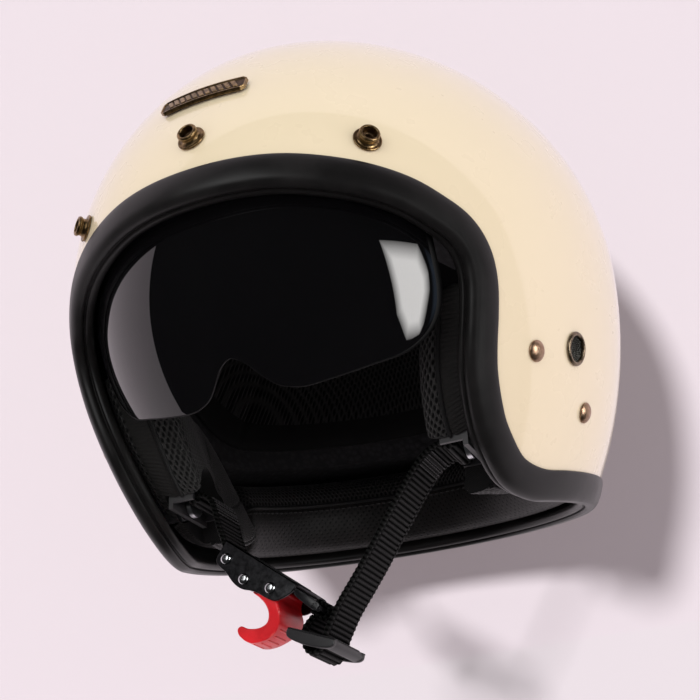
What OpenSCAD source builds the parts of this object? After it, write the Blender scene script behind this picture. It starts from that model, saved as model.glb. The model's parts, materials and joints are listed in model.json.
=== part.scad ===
// Open-face helmet with drop-down sun visor, padding, snap hardware and ratchet-buckle chin strap.
// Millimetres. +X is the wearer's left, -Y the front, +Z up; the bottom rim rests on z = 0.

/* [Shell] */
// Half width of the shell at its widest level
half_w = 117.2; // [115:0.1:119]
// Distance from the shell centre to the front of the brow
front_l = 149.9; // [148:0.1:152]
// Distance from the shell centre to the back
rear_l = 122.1; // [120:0.1:124]
// Height of the crown above the widest level
crown_h = 121.6; // [119:0.1:124]
// Depth scale of the sides below the widest level
drop_h = 157.3; // [155:0.1:160]
// Height of the widest level above the bottom rim
wide_z = 103; // [102:0.5:104]
// Roundness exponent of the shell (2 is an ellipsoid)
round_k = 1.945; // [1.93:0.005:1.96]
// Wall thickness of the moulded shell
shell_t = 4; // [3:0.1:4.1]

/* [Edge trim] */
// Width of the rubber band on the outside of the shell
trim_band = 10.5; // [9:0.5:12]
// Thickness of the rubber on the outside
trim_t = 2.2; // [1.6:0.1:2.4]

/* [Sun visor] */
// Radius of the lens at the middle, from the pivot axis
lens_r = 108; // [107:0.1:108.4]
// Half width at which the lens surface meets the pivot axis
lens_w = 97; // [96.6:0.1:97.2]
// Lens thickness
lens_t = 2; // [1.6:0.1:2.2]
// Position of the pivot axis, front to back
pivot_y = -32; // [-32.4:0.1:-31.6]
// Height of the pivot axis
pivot_z = 100; // [99.6:0.1:100.4]

/* [Padding] */
// Thickness of the foam impact liner measured from the shell
eps_in = 27; // [25:0.5:28]
// Depth of the inner face of the cheek pads below the shell
cheek_in = 38; // [34:0.5:40]

/* [Hardware] */
// Radius of the snap stud flange
snap_r = 5.5; // [5:0.1:6]
// Radius of the domed rivet heads
rivet_r = 4.1; // [3.6:0.1:4.4]
// Radius of the vent eyelet flange
eyelet_r = 6.75; // [6.2:0.1:7.2]

/* [Chin strap] */
// Width of the strap webbing
web_w = 22; // [20:0.5:22]
// Thickness of the strap webbing
web_t = 2.2; // [1.8:0.1:2.4]
// Forward lean of the hanging strap, in degrees
strap_lean = 14.6; // [13:0.1:16]
// Angle of the buckle in the strap loop, in degrees
buckle_a = 37; // [36:0.5:38]

/* [Hidden] */
$fn = 48;
shell_centre = [0, 0, wide_z];
lining_gap = 0.6;               // between the shell, liner and crown pad
liner_in = -shell_t - lining_gap;
stud_y = -62;                   // strap swing axis
stud_z = 24;
anchor_stud_r = 3;
rivet_shank_r = 2;
snap_hole_r = 2.45;
eyelet_tube_r = 5.6;

// ---------- the shell surface: |x/a|^k + |y/b|^k + |h/c|^k = 1, h from the widest level ----------
function unit(v) = v / norm(v);
function y_scale(y) = y < 0 ? front_l : rear_l;
function h_scale(h) = h > 0 ? crown_h : drop_h;
function term(v, scale) = pow(abs(v) / scale, round_k);
function x_term(x) = term(x, half_w);
function y_term(y) = term(y, y_scale(y));
function h_term(h) = term(h, h_scale(h));
function slope(v, scale) = sign(v) * pow(abs(v) / scale, round_k - 1) / scale;

// outward normal at a surface point, and the point moved out along it
function normal(p) = let (h = p[2] - wide_z)
  unit([slope(p[0], half_w), slope(p[1], y_scale(p[1])), slope(h, h_scale(h))]);
function lift(p, out) = p + out * normal(p);

// surface point along a direction from the centre, moved out
function toward(direction, out) = let (d = unit(direction))
  lift(d * pow(x_term(d[0]) + y_term(d[1]) + h_term(d[2]), -1 / round_k) + shell_centre, out);
// surface point at a turn angle (0 is the front, 90 the wearer's left) and height
function at_turn(turn, z) = let (
    left = max(1e-6, 1 - h_term(z - wide_z)),
    radius = pow(left / (x_term(sin(turn)) + y_term(-cos(turn))), 1 / round_k))
  [radius * sin(turn), -radius * cos(turn), z];
function at_turn_out(turn, z, out) = lift(at_turn(turn, z), out);
// fraction left for the third axis once two terms are taken
function remainder(terms) = pow(max(1e-6, 1 - terms), 1 / round_k);
// surface point on the left side at y and z, and on the front at x and z
function at_side(y, z) = [half_w * remainder(y_term(y) + h_term(z - wide_z)), y, z];
function at_front(x, z) = [x, -front_l * remainder(x_term(x) + h_term(z - wide_z)), z];

// points a local +Z axis along the surface normal at p
module on(p) {
  n = normal(p);
  translate(p) rotate([0, acos(n[2]), atan2(n[1], n[0])]) children();
}
module both() {
  children();
  mirror([1, 0, 0]) children();
}
// cylinders running toward +X: anywhere, and on the visor pivot axis
module x_cylinder(base, r, h) translate(base) rotate([0, 90, 0]) cylinder(r = r, h = h);
module pivot_cylinder(x, r, h) x_cylinder([x, pivot_y, pivot_z], r, h);

// ---------- curves ----------
function reverse(list) = [for (i = [len(list) - 1 : -1 : 0]) list[i]];
// Catmull-Rom point between b and c
function curve_point(a, b, c, d, t) = 0.5 * ((2 * b) + (c - a) * t
  + (2 * a - 5 * b + 4 * c - d) * t * t + (3 * b - a - 3 * c + d) * t * t * t);
// curve through c, whose first and last points only guide the ends
function spline(c, steps) = concat(
  [for (i = [1 : len(c) - 3]) for (j = [0 : steps - 1])
    curve_point(c[i - 1], c[i], c[i + 1], c[i + 2], j / steps)],
  [c[len(c) - 2]]);
function open_curve(c, steps) = spline(concat([c[0]], c, [c[len(c) - 1]]), steps);
// closed outline from its left half, given as [turn angle, height] from front to back
function full_loop(c) = let (
    before = c[1],
    after = c[len(c) - 2],
    half = spline(concat([[-before[0], before[1]]], c, [[360 - after[0], after[1]]]), 2))
  concat(half, [for (i = [len(half) - 2 : -1 : 1]) [360 - half[i][0], half[i][1]]]);

// ---------- skins ----------
pole = [0, sin(42), cos(42)];   // direction, up and back, where the rings of a dome converge
// unit direction a fraction t of the way from a to b
function slerp(a, b, t) = let (w = acos(a * b)) (a * sin((1 - t) * w) + b * sin(t * w)) / sin(w);
function dome_directions(outline, rings) = let (
    rim = [for (p = full_loop(outline)) unit(at_turn(p[0], p[1]) - shell_centre)])
  concat([for (j = [0 : rings - 1]) for (d = rim) slerp(d, pole, j / rings)], [pole]);

function quad(a, b, c, d) = [[a, b, c], [a, c, d]];
// faces of rings of n points closing on one last point, numbered from start
function skin_faces(n, rings, start) = concat(
  [for (j = [0 : rings - 2]) for (i = [0 : n - 1])
    let (a = start + j * n + i, b = start + j * n + (i + 1) % n) each quad(a, b, b + n, a + n)],
  [for (i = [0 : n - 1]) let (last = start + (rings - 1) * n)
    [last + i, last + (i + 1) % n, start + rings * n]]);
// solid between two skins, joined by a wall around the rim
module dome(outer, inner, rings) {
  q = len(outer);
  n = (q - 1) / rings;
  polyhedron(concat(outer, inner), concat(
    [for (f = skin_faces(n, rings, 0)) reverse(f)],
    skin_faces(n, rings, q),
    [for (i = [0 : n - 1]) let (b = (i + 1) % n) each quad(i, b, q + b, q + i)]),
    convexity = 6);
}
// layer between two offsets from the shell surface, bounded by an outline
module shell_layer(outline, rings, outer, inner) {
  directions = dome_directions(outline, rings);
  dome([for (d = directions) toward(d, outer)], [for (d = directions) toward(d, inner)], rings);
}
// small layer whose outline shrinks to a centre; place(p) puts an outline point on the shell
module patch(outline, centre, rings, place, outer, inner) {
  points = concat(
    [for (j = [0 : rings - 1]) for (p = outline) p + (centre - p) * j / rings], [centre]);
  dome([for (p = points) lift(place(p), outer)], [for (p = points) lift(place(p), inner)], rings);
}
// solid through rows that all have the same number of section points
module sweep(rows, closed = false) {
  n = len(rows);
  s = len(rows[0]);
  sides = [for (i = [0 : n - (closed ? 1 : 2)]) for (j = [0 : s - 1])
    let (next = ((i + 1) % n) * s, k = (j + 1) % s)
    each quad(i * s + j, i * s + k, next + k, next + j)];
  caps = closed ? [] : [[for (j = [s - 1 : -1 : 0]) j], [for (j = [0 : s - 1]) (n - 1) * s + j]];
  polyhedron([for (r = rows) each r], concat(sides, caps), convexity = 8);
}
// one section of [height, offset from the shell] carried through turn angles
module turn_sweep(turns, section)
  sweep([for (t = turns) [for (s = section) at_turn_out(t, s[0], s[1])]]);

// ---------- outlines of the left half, [turn angle, height] from front to back ----------
edge_outline = [[0, 120.6], [7, 120.3], [13, 118.9], [19, 115.8], [25, 111.6], [30.6, 106.1],
  [34.9, 99.8], [38.5, 93.5], [40.4, 86], [40.9, 77], [40.4, 66], [39.6, 54], [39.4, 43],
  [40.3, 31], [42.2, 21], [46.5, 10.5], [51.5, 5.2], [59.5, 2.2], [70, 2], [82, 2], [94, 2],
  [106, 2], [118, 2], [130, 2], [142, 2], [154, 2], [167, 2], [180, 2]];
liner_outline = [[0, 122.5], [10, 122], [20, 119.5], [28, 114.5], [34, 107.5], [39, 99.5],
  [44, 91.5], [51, 87], [60, 83.5], [72, 77], [84, 69.5], [91, 57], [97, 45.5], [106, 41],
  [118, 41], [130, 41], [142, 41], [154, 41], [167, 41], [180, 41]];
crown_outline = [[0, 152], [14, 151.5], [28, 149], [40, 143], [50, 130], [56, 112], [62, 98],
  [72, 88], [84, 79], [94, 65], [104, 56], [118, 54], [136, 54], [158, 54], [180, 54]];

// ---------- hardware places on the shell ----------
rivet_places = [at_side(-69, 52.7), at_side(-30.5, 32.4)];
eyelet_place = at_side(-44.5, 55.4);
snap_places = [at_front(0, 145), at_front(61, 132), at_front(-61, 132)];
pad_snap_places = [at_turn(52, 62), at_turn(70, 58), at_turn(82, 36)];

// ---------- shell and trim ----------
module shell_hole(p, r) on(p) translate([0, 0, -8]) cylinder(r = r, h = 12);
module outer_shell() color("#f3e6cf") difference() {
  shell_layer(edge_outline, 18, 0, -shell_t);
  both() for (p = rivet_places) shell_hole(p, rivet_shank_r + 0.05);
  both() shell_hole(eyelet_place, eyelet_tube_r + 0.05);
  for (p = snap_places) shell_hole(p, snap_hole_r);
}
// [distance from the edge onto the shell, offset from the outer surface]
trim_section = [[trim_band, 0.2], [trim_band - 0.1, 0.7], [trim_band - 2, 1.3],
  [trim_band - 6, trim_t - 0.3], [0, trim_t], [-1.6, 1.7], [-2.6, 0.2], [-2.9, -2], [-2.7, -4.4],
  [-2.7, -5.7], [-1.6, -6.9], [0, -6.9], [1.4, -6.3], [8, -5.9], [8, liner_in],
  [-0.4, liner_in], [-0.4, 0.2]];
module edge_trim() {
  edge = [for (p = full_loop(edge_outline)) at_turn(p[0], p[1])];
  n = len(edge);
  rows = [for (i = [0 : n - 1]) let (
      along = unit(edge[(i + 1) % n] - edge[(i + n - 1) % n]),
      onto = unit(cross(normal(edge[i]), along)))
    [for (s = reverse(trim_section)) toward(edge[i] + s[0] * onto - shell_centre, s[1])]];
  color("#26262a") difference() {
    sweep(rows, closed = true);
    // flat underside at z = 0
    translate([0, 0, -20]) cube([400, 400, 40], center = true);
  }
}
module trim_joint_clip() color("#1b1b1e") turn_sweep([172.5 : 2.5 : 187.5],
  [[2.6, 2.7], [2.9, 4.2], [9, 4.5], [13, 3.4], [13.4, 2.6], [7, 2.55]]);

// ---------- padding ----------
lens_gap = 1.4;                 // between the liner and the raised lens
// Outer face of the liner: follows the shell, but drops inside the lens where it retracts.
// Solves for the distance along the ray from the shell centre to the lens-shaped ellipsoid.
function liner_outer(direction) = let (
    shell_side = toward(direction, liner_in),
    ray = unit(shell_side - shell_centre),
    width = lens_w - lens_t - lens_gap,
    radius = lens_r - lens_t - lens_gap,
    from = [0, -pivot_y, wide_z - pivot_z],
    a = pow(ray[0] / width, 2) + pow(ray[1] / radius, 2) + pow(ray[2] / radius, 2),
    b = 2 * (ray * from) / (radius * radius),
    c = (from * from) / (radius * radius) - 1,
    distance = (-b + sqrt(b * b - 4 * a * c)) / (2 * a),
    y = shell_side[1] - pivot_y,
    z = shell_side[2] - pivot_z,
    swing = atan2(z, -y),
    in_sweep = (swing < 86 && swing > -60) || norm([y, z]) < 36)
  in_sweep && distance < norm(shell_side - shell_centre)
    ? shell_centre + ray * distance : shell_side;
module eps_liner() {
  rings = 14;
  directions = dome_directions(liner_outline, rings);
  color("#3a3a3d") difference() {
    dome([for (d = directions) liner_outer(d)], [for (d = directions) toward(d, -eps_in)], rings);
    both() pivot_cylinder(89.6, 9, 40);
  }
}
module crown_pad() color("#2b2b2e")
  shell_layer(crown_outline, 8, -eps_in - lining_gap, -eps_in - 7);

// brow pad section of [height, offset from the liner's inner face]; its edges drop to the sides
function brow_section(turn) = let (
    fall = pow(abs(turn) / 44, 2),
    bottom = 124.5 - 9 * fall,
    top = 147 - 13 * fall,
    middle = (bottom + top) / 2)
  [[bottom, -1], [bottom - 1.5, -4], [bottom + 1, -7], [middle, -8],
   [top - 1, -6.6], [top, -3], [top - 1, -0.9], [middle, -0.8]];
module brow_pad() color("#222225") sweep([for (t = [-44 : 4 : 44])
  [for (s = reverse(brow_section(t))) at_turn_out(t, s[0], s[1] - eps_in)]]);

// closed outlines of the left cheek pad and its core, [turn angle, height]
cheek_outline = [[42.5, 77], [42.2, 66], [41.4, 54], [41.3, 44], [42.4, 33], [45, 23.5],
  [49.5, 14.5], [55, 9.5], [63, 7.5], [73, 7.5], [83, 8], [88, 12], [89.5, 28], [88.5, 46],
  [83, 62], [72, 70.5], [59, 77.5], [49, 81]];
pocket_outline = [[48, 72], [47.5, 60], [47, 48], [48, 36], [51, 27], [56, 19], [64, 15.5],
  [74, 15], [82, 18], [85, 32], [83, 48], [78, 59], [69, 65.5], [58, 71]];
// the core is the pocket shrunk slightly toward this centre
core_centre = [66, 42];
core_outline = [for (p = pocket_outline) p + (core_centre - p) * 0.035];
tunnel_r = 15.6;
pad_snap_r = 6;
pad_snap_post_r = 2.6;

module cheek_block(outline, outer, inner) {
  centre = [for (i = [0, 1]) let (v = [for (p = outline) p[i]]) (max(v) + min(v)) / 2];
  patch(outline, centre, 4, function (p) at_turn(p[0], p[1]), outer, inner);
}
// room for the strap, round at the swing axis and open downward
module strap_tunnel() {
  x_cylinder([38, stud_y, stud_z], tunnel_r, 60);
  translate([38, stud_y - tunnel_r, -30]) cube([60, 2 * tunnel_r, 30 + stud_z]);
}
module pad_snap_pockets(depth, height) for (p = pad_snap_places)
  on(p) translate([0, 0, -depth]) cylinder(r = pad_snap_r + 0.3, h = height);
module cheek_core() color("#4a4a4e") difference() {
  cheek_block(core_outline, -8.6, -19.8);
  strap_tunnel();
  pad_snap_pockets(21, 5);
}
module cheek_core_left() cheek_core();
module cheek_core_right() mirror([1, 0, 0]) cheek_core();
module cheek_pad() color("#28282b") difference() {
  cheek_block(cheek_outline, -8.4, -cheek_in);
  cheek_block(pocket_outline, -4, -20.2);
  strap_tunnel();
  pad_snap_pockets(24, 8);
}
module cheek_pad_left() cheek_pad();
module cheek_pad_right() mirror([1, 0, 0]) cheek_pad();
module pad_snap_sockets() color("#161618") both() for (p = pad_snap_places)
  on(p) translate([0, 0, -19.6]) difference() {
    cylinder(r = pad_snap_r, h = 2.8);
    translate([0, 0, -1]) cylinder(r = pad_snap_post_r + 0.1, h = 6);
  }
module pad_snap_studs() color("#161618") both() for (p = pad_snap_places) on(p) {
  translate([0, 0, -23.4]) cylinder(r = pad_snap_r, h = 2.4);
  translate([0, 0, -22]) cylinder(r = pad_snap_post_r, h = 4.6);
}
module neck_roll() color("#2a2a2d") turn_sweep([95 : 5 : 265],
  reverse([[5.5, -7.6], [4.6, -12], [5.5, -22], [9, -28], [16, -30.5], [26, -30], [33, -26],
    [36.6, -18], [36, -10], [31, -6.9], [14, -6.9]]));

// ---------- badge ----------
badge_z = 166.9;
badge_half = 18.2;
// [x, half height]
badge_stations = [[-badge_half, 2.1], [-17.3, 3.1], [-14.6, 3.4], [-11, 3.4], [-7.3, 3.4],
  [-3.7, 3.4], [0, 3.4], [3.7, 3.4], [7.3, 3.4], [11, 3.4], [14.6, 3.4], [17.3, 3.1],
  [badge_half, 2.1]];
module badge_layer(low, high, inset) sweep([for (station = badge_stations) let (
    x = station[0] * (1 - inset / badge_half),
    half = station[1] - inset)
  [for (s = [[-1, low], [0, low], [1, low], [1, high], [0, high], [-1, high]])
    lift(at_front(x, badge_z + s[0] * half), s[1])]]);
module badge_plate() color("#8a6a3c") badge_layer(1, 2.6, 0);
module badge_adhesive() color("#111111") badge_layer(0.12, 0.88, 0.9);

// ---------- turned hardware: profiles are [radius, height above the shell] ----------
module snap_studs() color("#7d6236") for (p = snap_places) on(p) rotate_extrude()
  polygon([[snap_hole_r, 0.12], [snap_r - 0.3, 0.12], [snap_r, 0.5], [snap_r - 0.4, 0.95],
    [4.3, 1.1], [3.6, 1.5], [3.5, 2.6], [3.9, 3.2], [4, 3.9], [3.7, 4.4], [3.1, 4.5],
    [2.7, 4.1], [2.6, 1.6], [snap_hole_r, 1.4]]);
module snap_posts() color("#6d5632") for (p = snap_places) on(p) rotate_extrude()
  polygon([[0, -5.5], [4.6, -5.5], [4.8, -5.2], [4.6, -4.75], [2.3, -4.65], [2.3, 1.2],
    [2.0, 1.45], [0, 1.5]]);
module vent_eyelets() color("#8f7a55") both() on(eyelet_place) rotate_extrude()
  polygon([[5, -5.6], [5.55, -5.6], [eyelet_tube_r, 0.3], [eyelet_r, 0.25],
    [eyelet_r + 0.05, 0.7], [eyelet_r - 0.4, 1.15], [eyelet_tube_r, 1.35], [5, 1.1]]);
module vent_meshes() color("#1d2424") both() on(eyelet_place)
  translate([0, 0, -0.6]) cylinder(r = 4.95, h = 0.5);
module strap_rivets() color("#9a7a55") both() for (p = rivet_places) on(p) rotate_extrude()
  polygon(concat(
    [[0, -8.3], [3.2, -8.3], [3.5, -8], [3.4, -7.45], [rivet_shank_r, -7.4],
      [rivet_shank_r, 0.12], [rivet_r, 0.12], [rivet_r, 0.5]],
    [for (a = [15 : 15 : 90]) [rivet_r * cos(a), 0.5 + 1.75 * sin(a)]]));
module rivet_washers() color("#8d8d90") both() for (p = rivet_places)
  on(p) translate([0, 0, -7.35]) difference() {
    cylinder(r = 4.2, h = 0.6);
    translate([0, 0, -1]) cylinder(r = rivet_shank_r + 0.1, h = 3);
  }

// ---------- strap anchor plates inside the shell ----------
// [y, z] on the left side
plate_outline = reverse([[-76, 55], [-72, 60], [-66, 59], [-59, 51], [-44, 43.5], [-29, 39.5],
  [-24, 36], [-24, 29], [-29, 25], [-41, 24], [-52, 18], [-59, 17], [-65, 20], [-68, 26],
  [-71, 38], [-75, 46]]);
module anchor_plate() color("#6f7174") difference() {
  union() {
    patch(plate_outline, [-57, 38], 3, function (p) at_side(p[0], p[1]),
      -shell_t - 0.75, -shell_t - 2.2);
    // stud with a retaining head and a thick root
    x_cylinder([62, stud_y, stud_z], anchor_stud_r, 17.05);
    x_cylinder([60.4, stud_y, stud_z], 5, 2);
    x_cylinder([65.9, stud_y, stud_z], 5.5, 11.3);
  }
  for (p = rivet_places) on(p) translate([0, 0, -12]) cylinder(r = rivet_shank_r + 0.05, h = 14);
}
module anchor_plate_left() anchor_plate();
module anchor_plate_right() mirror([1, 0, 0]) anchor_plate();

// ---------- drop-down sun visor ----------
lens_boss_r = 10.4;
pivot_post_r = 4;
screw_r = 1.6;
// left half of the lens seen from the front, [x, z], from the bottom middle round to the top
lens_outline = [[0, 61.5], [5, 59], [9, 54.5], [13, 50.5], [18, 48.2], [25, 47.5], [38, 49.5],
  [48, 51.8], [56, 54], [62, 57.5], [67, 62.5], [70.5, 69], [72.3, 76], [73, 84], [73, 96],
  [73, 112], [66, 117.5], [50, 121.5], [25, 123.5]];
// half ellipse of [distance from the pivot axis, x]
function lens_arc(radius, width) = [for (i = [0 : 40]) let (a = -90 + 180 * i / 40)
  [max(0, radius * cos(a)), width * sin(a)]];
module sun_visor() {
  front = concat(lens_outline,
    [for (i = [len(lens_outline) - 1 : -1 : 1]) [-lens_outline[i][0], lens_outline[i][1]]]);
  profile = concat(lens_arc(lens_r, lens_w), reverse(lens_arc(lens_r - lens_t, lens_w - lens_t)));
  color([0.12, 0.12, 0.13, 0.6]) difference() {
    union() {
      // lens, arms and pivot ends are all cut from one ellipsoid skin
      intersection() {
        translate([0, pivot_y, pivot_z]) rotate([0, 90, 0])
          rotate_extrude($fn = 96) polygon(profile);
        union() {
          translate([0, pivot_y - 40, 0]) rotate([90, 0, 0])
            linear_extrude(height = 90) polygon(front);
          both() translate([70, pivot_y, pivot_z]) rotate([-8, 0, 0])
            translate([0, -90, -7.5]) cube([40, 90, 15]);
          both() pivot_cylinder(90, lens_boss_r, 10);
        }
      }
      both() pivot_cylinder(lens_w - 2.6, lens_boss_r, 2.8);
    }
    both() pivot_cylinder(80, pivot_post_r + 0.06, 30);
  }
}
module visor_bracket() color("#303034") difference() {
  union() {
    pivot_cylinder(99.5, 13, 3);
    pivot_cylinder(98, 6.6, 2);
    pivot_cylinder(93.9, pivot_post_r, 6);
    pivot_cylinder(102, 7, 5.6);
  }
  pivot_cylinder(90, screw_r + 0.05, 14);
}
module visor_bracket_left() visor_bracket();
module visor_bracket_right() mirror([1, 0, 0]) visor_bracket();
module pivot_washer(x, r, h) difference() {
  pivot_cylinder(x, r, h);
  pivot_cylinder(x - 1, pivot_post_r + 0.15, h + 2);
}
module visor_outer_washers() color("#c9c9c4") both() pivot_washer(97.3, 8, 0.6);
module visor_inner_washers() color("#c9c9c4") both() pivot_washer(93.5, 7.5, 0.8);
module visor_screws() color("#b8b8bb") both() difference() {
  union() {
    pivot_cylinder(91.2, 6.4, 2.2);
    pivot_cylinder(93, screw_r, 9);
  }
  // hexagon socket
  pivot_cylinder(90.5, 1.5, 1.7, $fn = 6);
}

// ---------- chin strap: local x is the helmet's x, y runs down the strap, z is its width ----------
hanger_bar_x = 56;
bar_r = 1.5;
bar_hole_r = bar_r + 0.15;
loop_r = 3.4;                   // webbing wrapped around a bar
buckle_place = [-38.9, 30.5];
tongue_bar = [45.6, -2.6];      // in the buckle's frame
module strap_frame() translate([0, stud_y, stud_z]) rotate([-(90 + strap_lean), 0, 0]) children();
// hole along local z through everything
module through(p, r) translate([p[0], p[1], -20]) cylinder(r = r, h = 40);

module strap_hangers() color("#77797c") both() strap_frame() {
  difference() {
    translate([63.3, -5, -13.6]) cube([2, 10, 27.2]);
    x_cylinder([60, 0, 0], anchor_stud_r + 0.06, 8);
  }
  for (s = [-1, 1]) translate([54, -2.6, s * 12.9 - 0.7]) cube([10, 5.2, 1.4]);
  translate([hanger_bar_x, 0, -13.4]) cylinder(r = bar_r, h = 26.8);
}

// band of constant thickness along a path of points
function path_normal(p, i) = let (d = unit(p[min(i + 1, len(p) - 1)] - p[max(i - 1, 0)]))
  [-d[1], d[0]];
function band(p, t) = concat(
  [for (i = [0 : len(p) - 1]) p[i] + t / 2 * path_normal(p, i)],
  [for (i = [len(p) - 1 : -1 : 0]) p[i] - t / 2 * path_normal(p, i)]);
// a point of the buckle's frame in the strap frame
function from_buckle(p) = buckle_place
  + [p[0] * cos(buckle_a) - p[1] * sin(buckle_a), p[0] * sin(buckle_a) + p[1] * cos(buckle_a)];
// webbing centre lines, [x, y] from the hanger to the buckle
left_path = [[53.4, 0], [50, 0.8], [45.5, 3.4], [41.3, 8], [37, 13.6], [32.5, 20], [27.8, 26.8],
  [20.4, 37.8], [14.4, 46], [7.7, 54.9], [4, 61.2], [1.6, 66], [0.6, 69.3], [-1.6, 71.9],
  [-4.8, 72.2], [-6.9, 69.9], [-7.3, 66.4], [-7, 62.5], from_buckle([45.4, 0.6])];
right_path = [[-53.4, 0], [-50.5, 0.9], [-48, 3.4], [-46.2, 8], [-44.4, 15], [-42, 22],
  from_buckle([-2.4, -0.8])];
// round-ended slot from the tongue bar, longer along the tongue
module tongue_slot(r) {
  a = from_buckle(tongue_bar);
  b = from_buckle(tongue_bar + [2.6, 0]);
  d = unit(b - a);
  q = [-d[1], d[0]];
  translate(a) circle(r = r);
  translate(b) circle(r = r);
  polygon([a + r * q, b + r * q, b - r * q, a - r * q]);
}
module web_band(path) linear_extrude(height = web_w) polygon(band(open_curve(path, 3), web_t));
module web_loop(p) translate(p) cylinder(r = loop_r, h = web_w);
module strap_webbing_left() color("#1c1c1e") strap_frame() difference() {
  translate([0, 0, -web_w / 2]) union() {
    web_band(left_path);
    web_loop([hanger_bar_x, 0, 0]);
    linear_extrude(height = web_w) tongue_slot(3.5);
  }
  through([hanger_bar_x, 0], bar_hole_r);
  translate([0, 0, -20]) linear_extrude(height = 40) tongue_slot(bar_hole_r);
}
module strap_webbing_right() color("#1c1c1e") strap_frame() difference() {
  translate([0, 0, -web_w / 2]) union() {
    web_band(right_path);
    web_loop([-hanger_bar_x, 0, 0]);
    web_loop([buckle_place[0], buckle_place[1], 0]);
  }
  through([-hanger_bar_x, 0], bar_hole_r);
  through(buckle_place, bar_hole_r);
}
slide_slot = 23.2;              // width of the slots across the strap
module strap_slide() color("#171719") strap_frame()
  translate([-3.1, 67.6, 0]) rotate([0, 0, 21]) difference() {
    translate([0, 0, -13.8]) linear_extrude(height = 27.6)
      polygon([[-10.2, -1.2], [-9.4, -2], [9.6, -2], [10.4, -1.2], [10.4, 0.8], [8.4, 2.2],
        [3, 3], [-3, 3], [-8.4, 2.2], [-10.2, 0.8]]);
    translate([3.9, 0, 0]) cube([4.4, 12, slide_slot], center = true);
    translate([-4.5, 0, 0]) cube([5, 12, slide_slot], center = true);
    translate([0, 2.2, 0]) cube([6, 2.6, slide_slot], center = true);
  }

// ---------- ratchet buckle: local x along the tongue, y away from the head, z across ----------
webbing_pin_xy = [0, 0];
pawl_pin_xy = [12, 3];
lever_pin_xy = [24.5, 0.5];
pin_r = 1.5;
pin_hole_r = pin_r + 0.05;
frame_plate = 1.2;
frame_side = [[-4.4, -6], [33.5, -6], [33.5, -2.2], [29.5, 3.6], [24, 4.6], [17, 5.4],
  [11, 6.6], [3, 4.8], [-3, 3.6], [-4.4, 2]];
lever_side = [[24.5, -1.9], [25.7, -1.58], [26.58, -0.7], [26.9, 0.5], [27.9, 2.2], [29.4, 3.6],
  [32.2, 6.4], [33.6, 10.5], [32.4, 15.4], [29, 19.8], [24.6, 22.8], [19.4, 22.6], [16.4, 20.2],
  [20.6, 18], [23.6, 15], [24.6, 11.6], [23.2, 8.8], [19.4, 7.6], [16.4, 6.8], [18, 5],
  [20.6, 2.6], [21.6, 0.6], [22.42, -0.7], [23.3, -1.58]];
module buckle() strap_frame() translate(concat(buckle_place, [0])) rotate([0, 0, buckle_a])
  children();
module buckle_frame() color("#1e1e20") buckle() difference() {
  union() {
    translate([-4.4, -6, -12.5]) cube([37.9, frame_plate, 25]);
    for (z = [-12.5, 12.5 - frame_plate])
      translate([0, 0, z]) linear_extrude(height = frame_plate) polygon(frame_side);
  }
  for (p = [webbing_pin_xy, pawl_pin_xy, lever_pin_xy]) through(p, pin_hole_r);
}
// pin with a wider head at each end
module pin_at(p) buckle() translate([p[0], p[1], 0]) rotate_extrude()
  polygon([[0, -14], [1.6, -13.8], [2.2, -13.2], [2.2, -12.65], [pin_r, -12.6], [pin_r, 12.6],
    [2.2, 12.65], [2.2, 13.2], [1.6, 13.8], [0, 14]]);
module webbing_pin() color("#d5d5d8") pin_at(webbing_pin_xy);
module pawl_pin() color("#d5d5d8") pin_at(pawl_pin_xy);
module lever_pin() color("#d5d5d8") pin_at(lever_pin_xy);
// two touching rings stand for the coil
module pawl_spring() color("#c0c0c4") buckle()
  translate([pawl_pin_xy[0], pawl_pin_xy[1], 9.75]) union() for (i = [0 : 1])
    translate([0, 0, i * 0.6]) rotate_extrude() translate([2.25, 0]) circle(r = 0.4, $fn = 24);
module ratchet_tongue() color("#202022") buckle() {
  translate([8.5, -4.6, -8.5]) cube([27, 1.7, 17]);
  // ratchet teeth
  for (i = [0 : 7]) translate([10 + i * 2.5, -3, -7.5])
    linear_extrude(height = 15) polygon([[0, 0], [2.3, 0], [2.3, 0.8]]);
  // crosspiece, ears and webbing bar
  translate([34.5, -4.6, -13]) cube([4.3, 1.7, 26]);
  for (s = [-1, 1]) translate([34.5, -4.6, s * 12.3 - 0.7]) cube([12.1, 3.4, 1.4]);
  translate([tongue_bar[0], tongue_bar[1], -13]) cylinder(r = bar_r, h = 26);
}
module ratchet_pawl() color("#8c8c90") buckle() difference() {
  union() {
    translate([pawl_pin_xy[0], pawl_pin_xy[1], -9]) cylinder(r = 2.9, h = 18);
    translate([0, 0, -9]) linear_extrude(height = 18)
      polygon([[13, 0.2], [19.3, -1.9], [20.2, -0.9], [14.6, 2.6]]);
  }
  through(pawl_pin_xy, pin_hole_r);
}
module buckle_lever() color("#d8121a") buckle() difference() {
  translate([0, 0, -10.9]) linear_extrude(height = 21.8) polygon(lever_side);
  through(lever_pin_xy, pin_hole_r);
}

outer_shell();
edge_trim();
trim_joint_clip();
eps_liner();
crown_pad();
brow_pad();
cheek_core_left();
cheek_core_right();
cheek_pad_left();
cheek_pad_right();
pad_snap_sockets();
pad_snap_studs();
neck_roll();
badge_plate();
badge_adhesive();
snap_studs();
snap_posts();
vent_eyelets();
vent_meshes();
strap_rivets();
rivet_washers();
anchor_plate_left();
anchor_plate_right();
sun_visor();
visor_bracket_left();
visor_bracket_right();
visor_outer_washers();
visor_inner_washers();
visor_screws();
strap_hangers();
strap_webbing_left();
strap_webbing_right();
strap_slide();
buckle_frame();
webbing_pin();
pawl_pin();
lever_pin();
pawl_spring();
ratchet_tongue();
ratchet_pawl();
buckle_lever();
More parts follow.
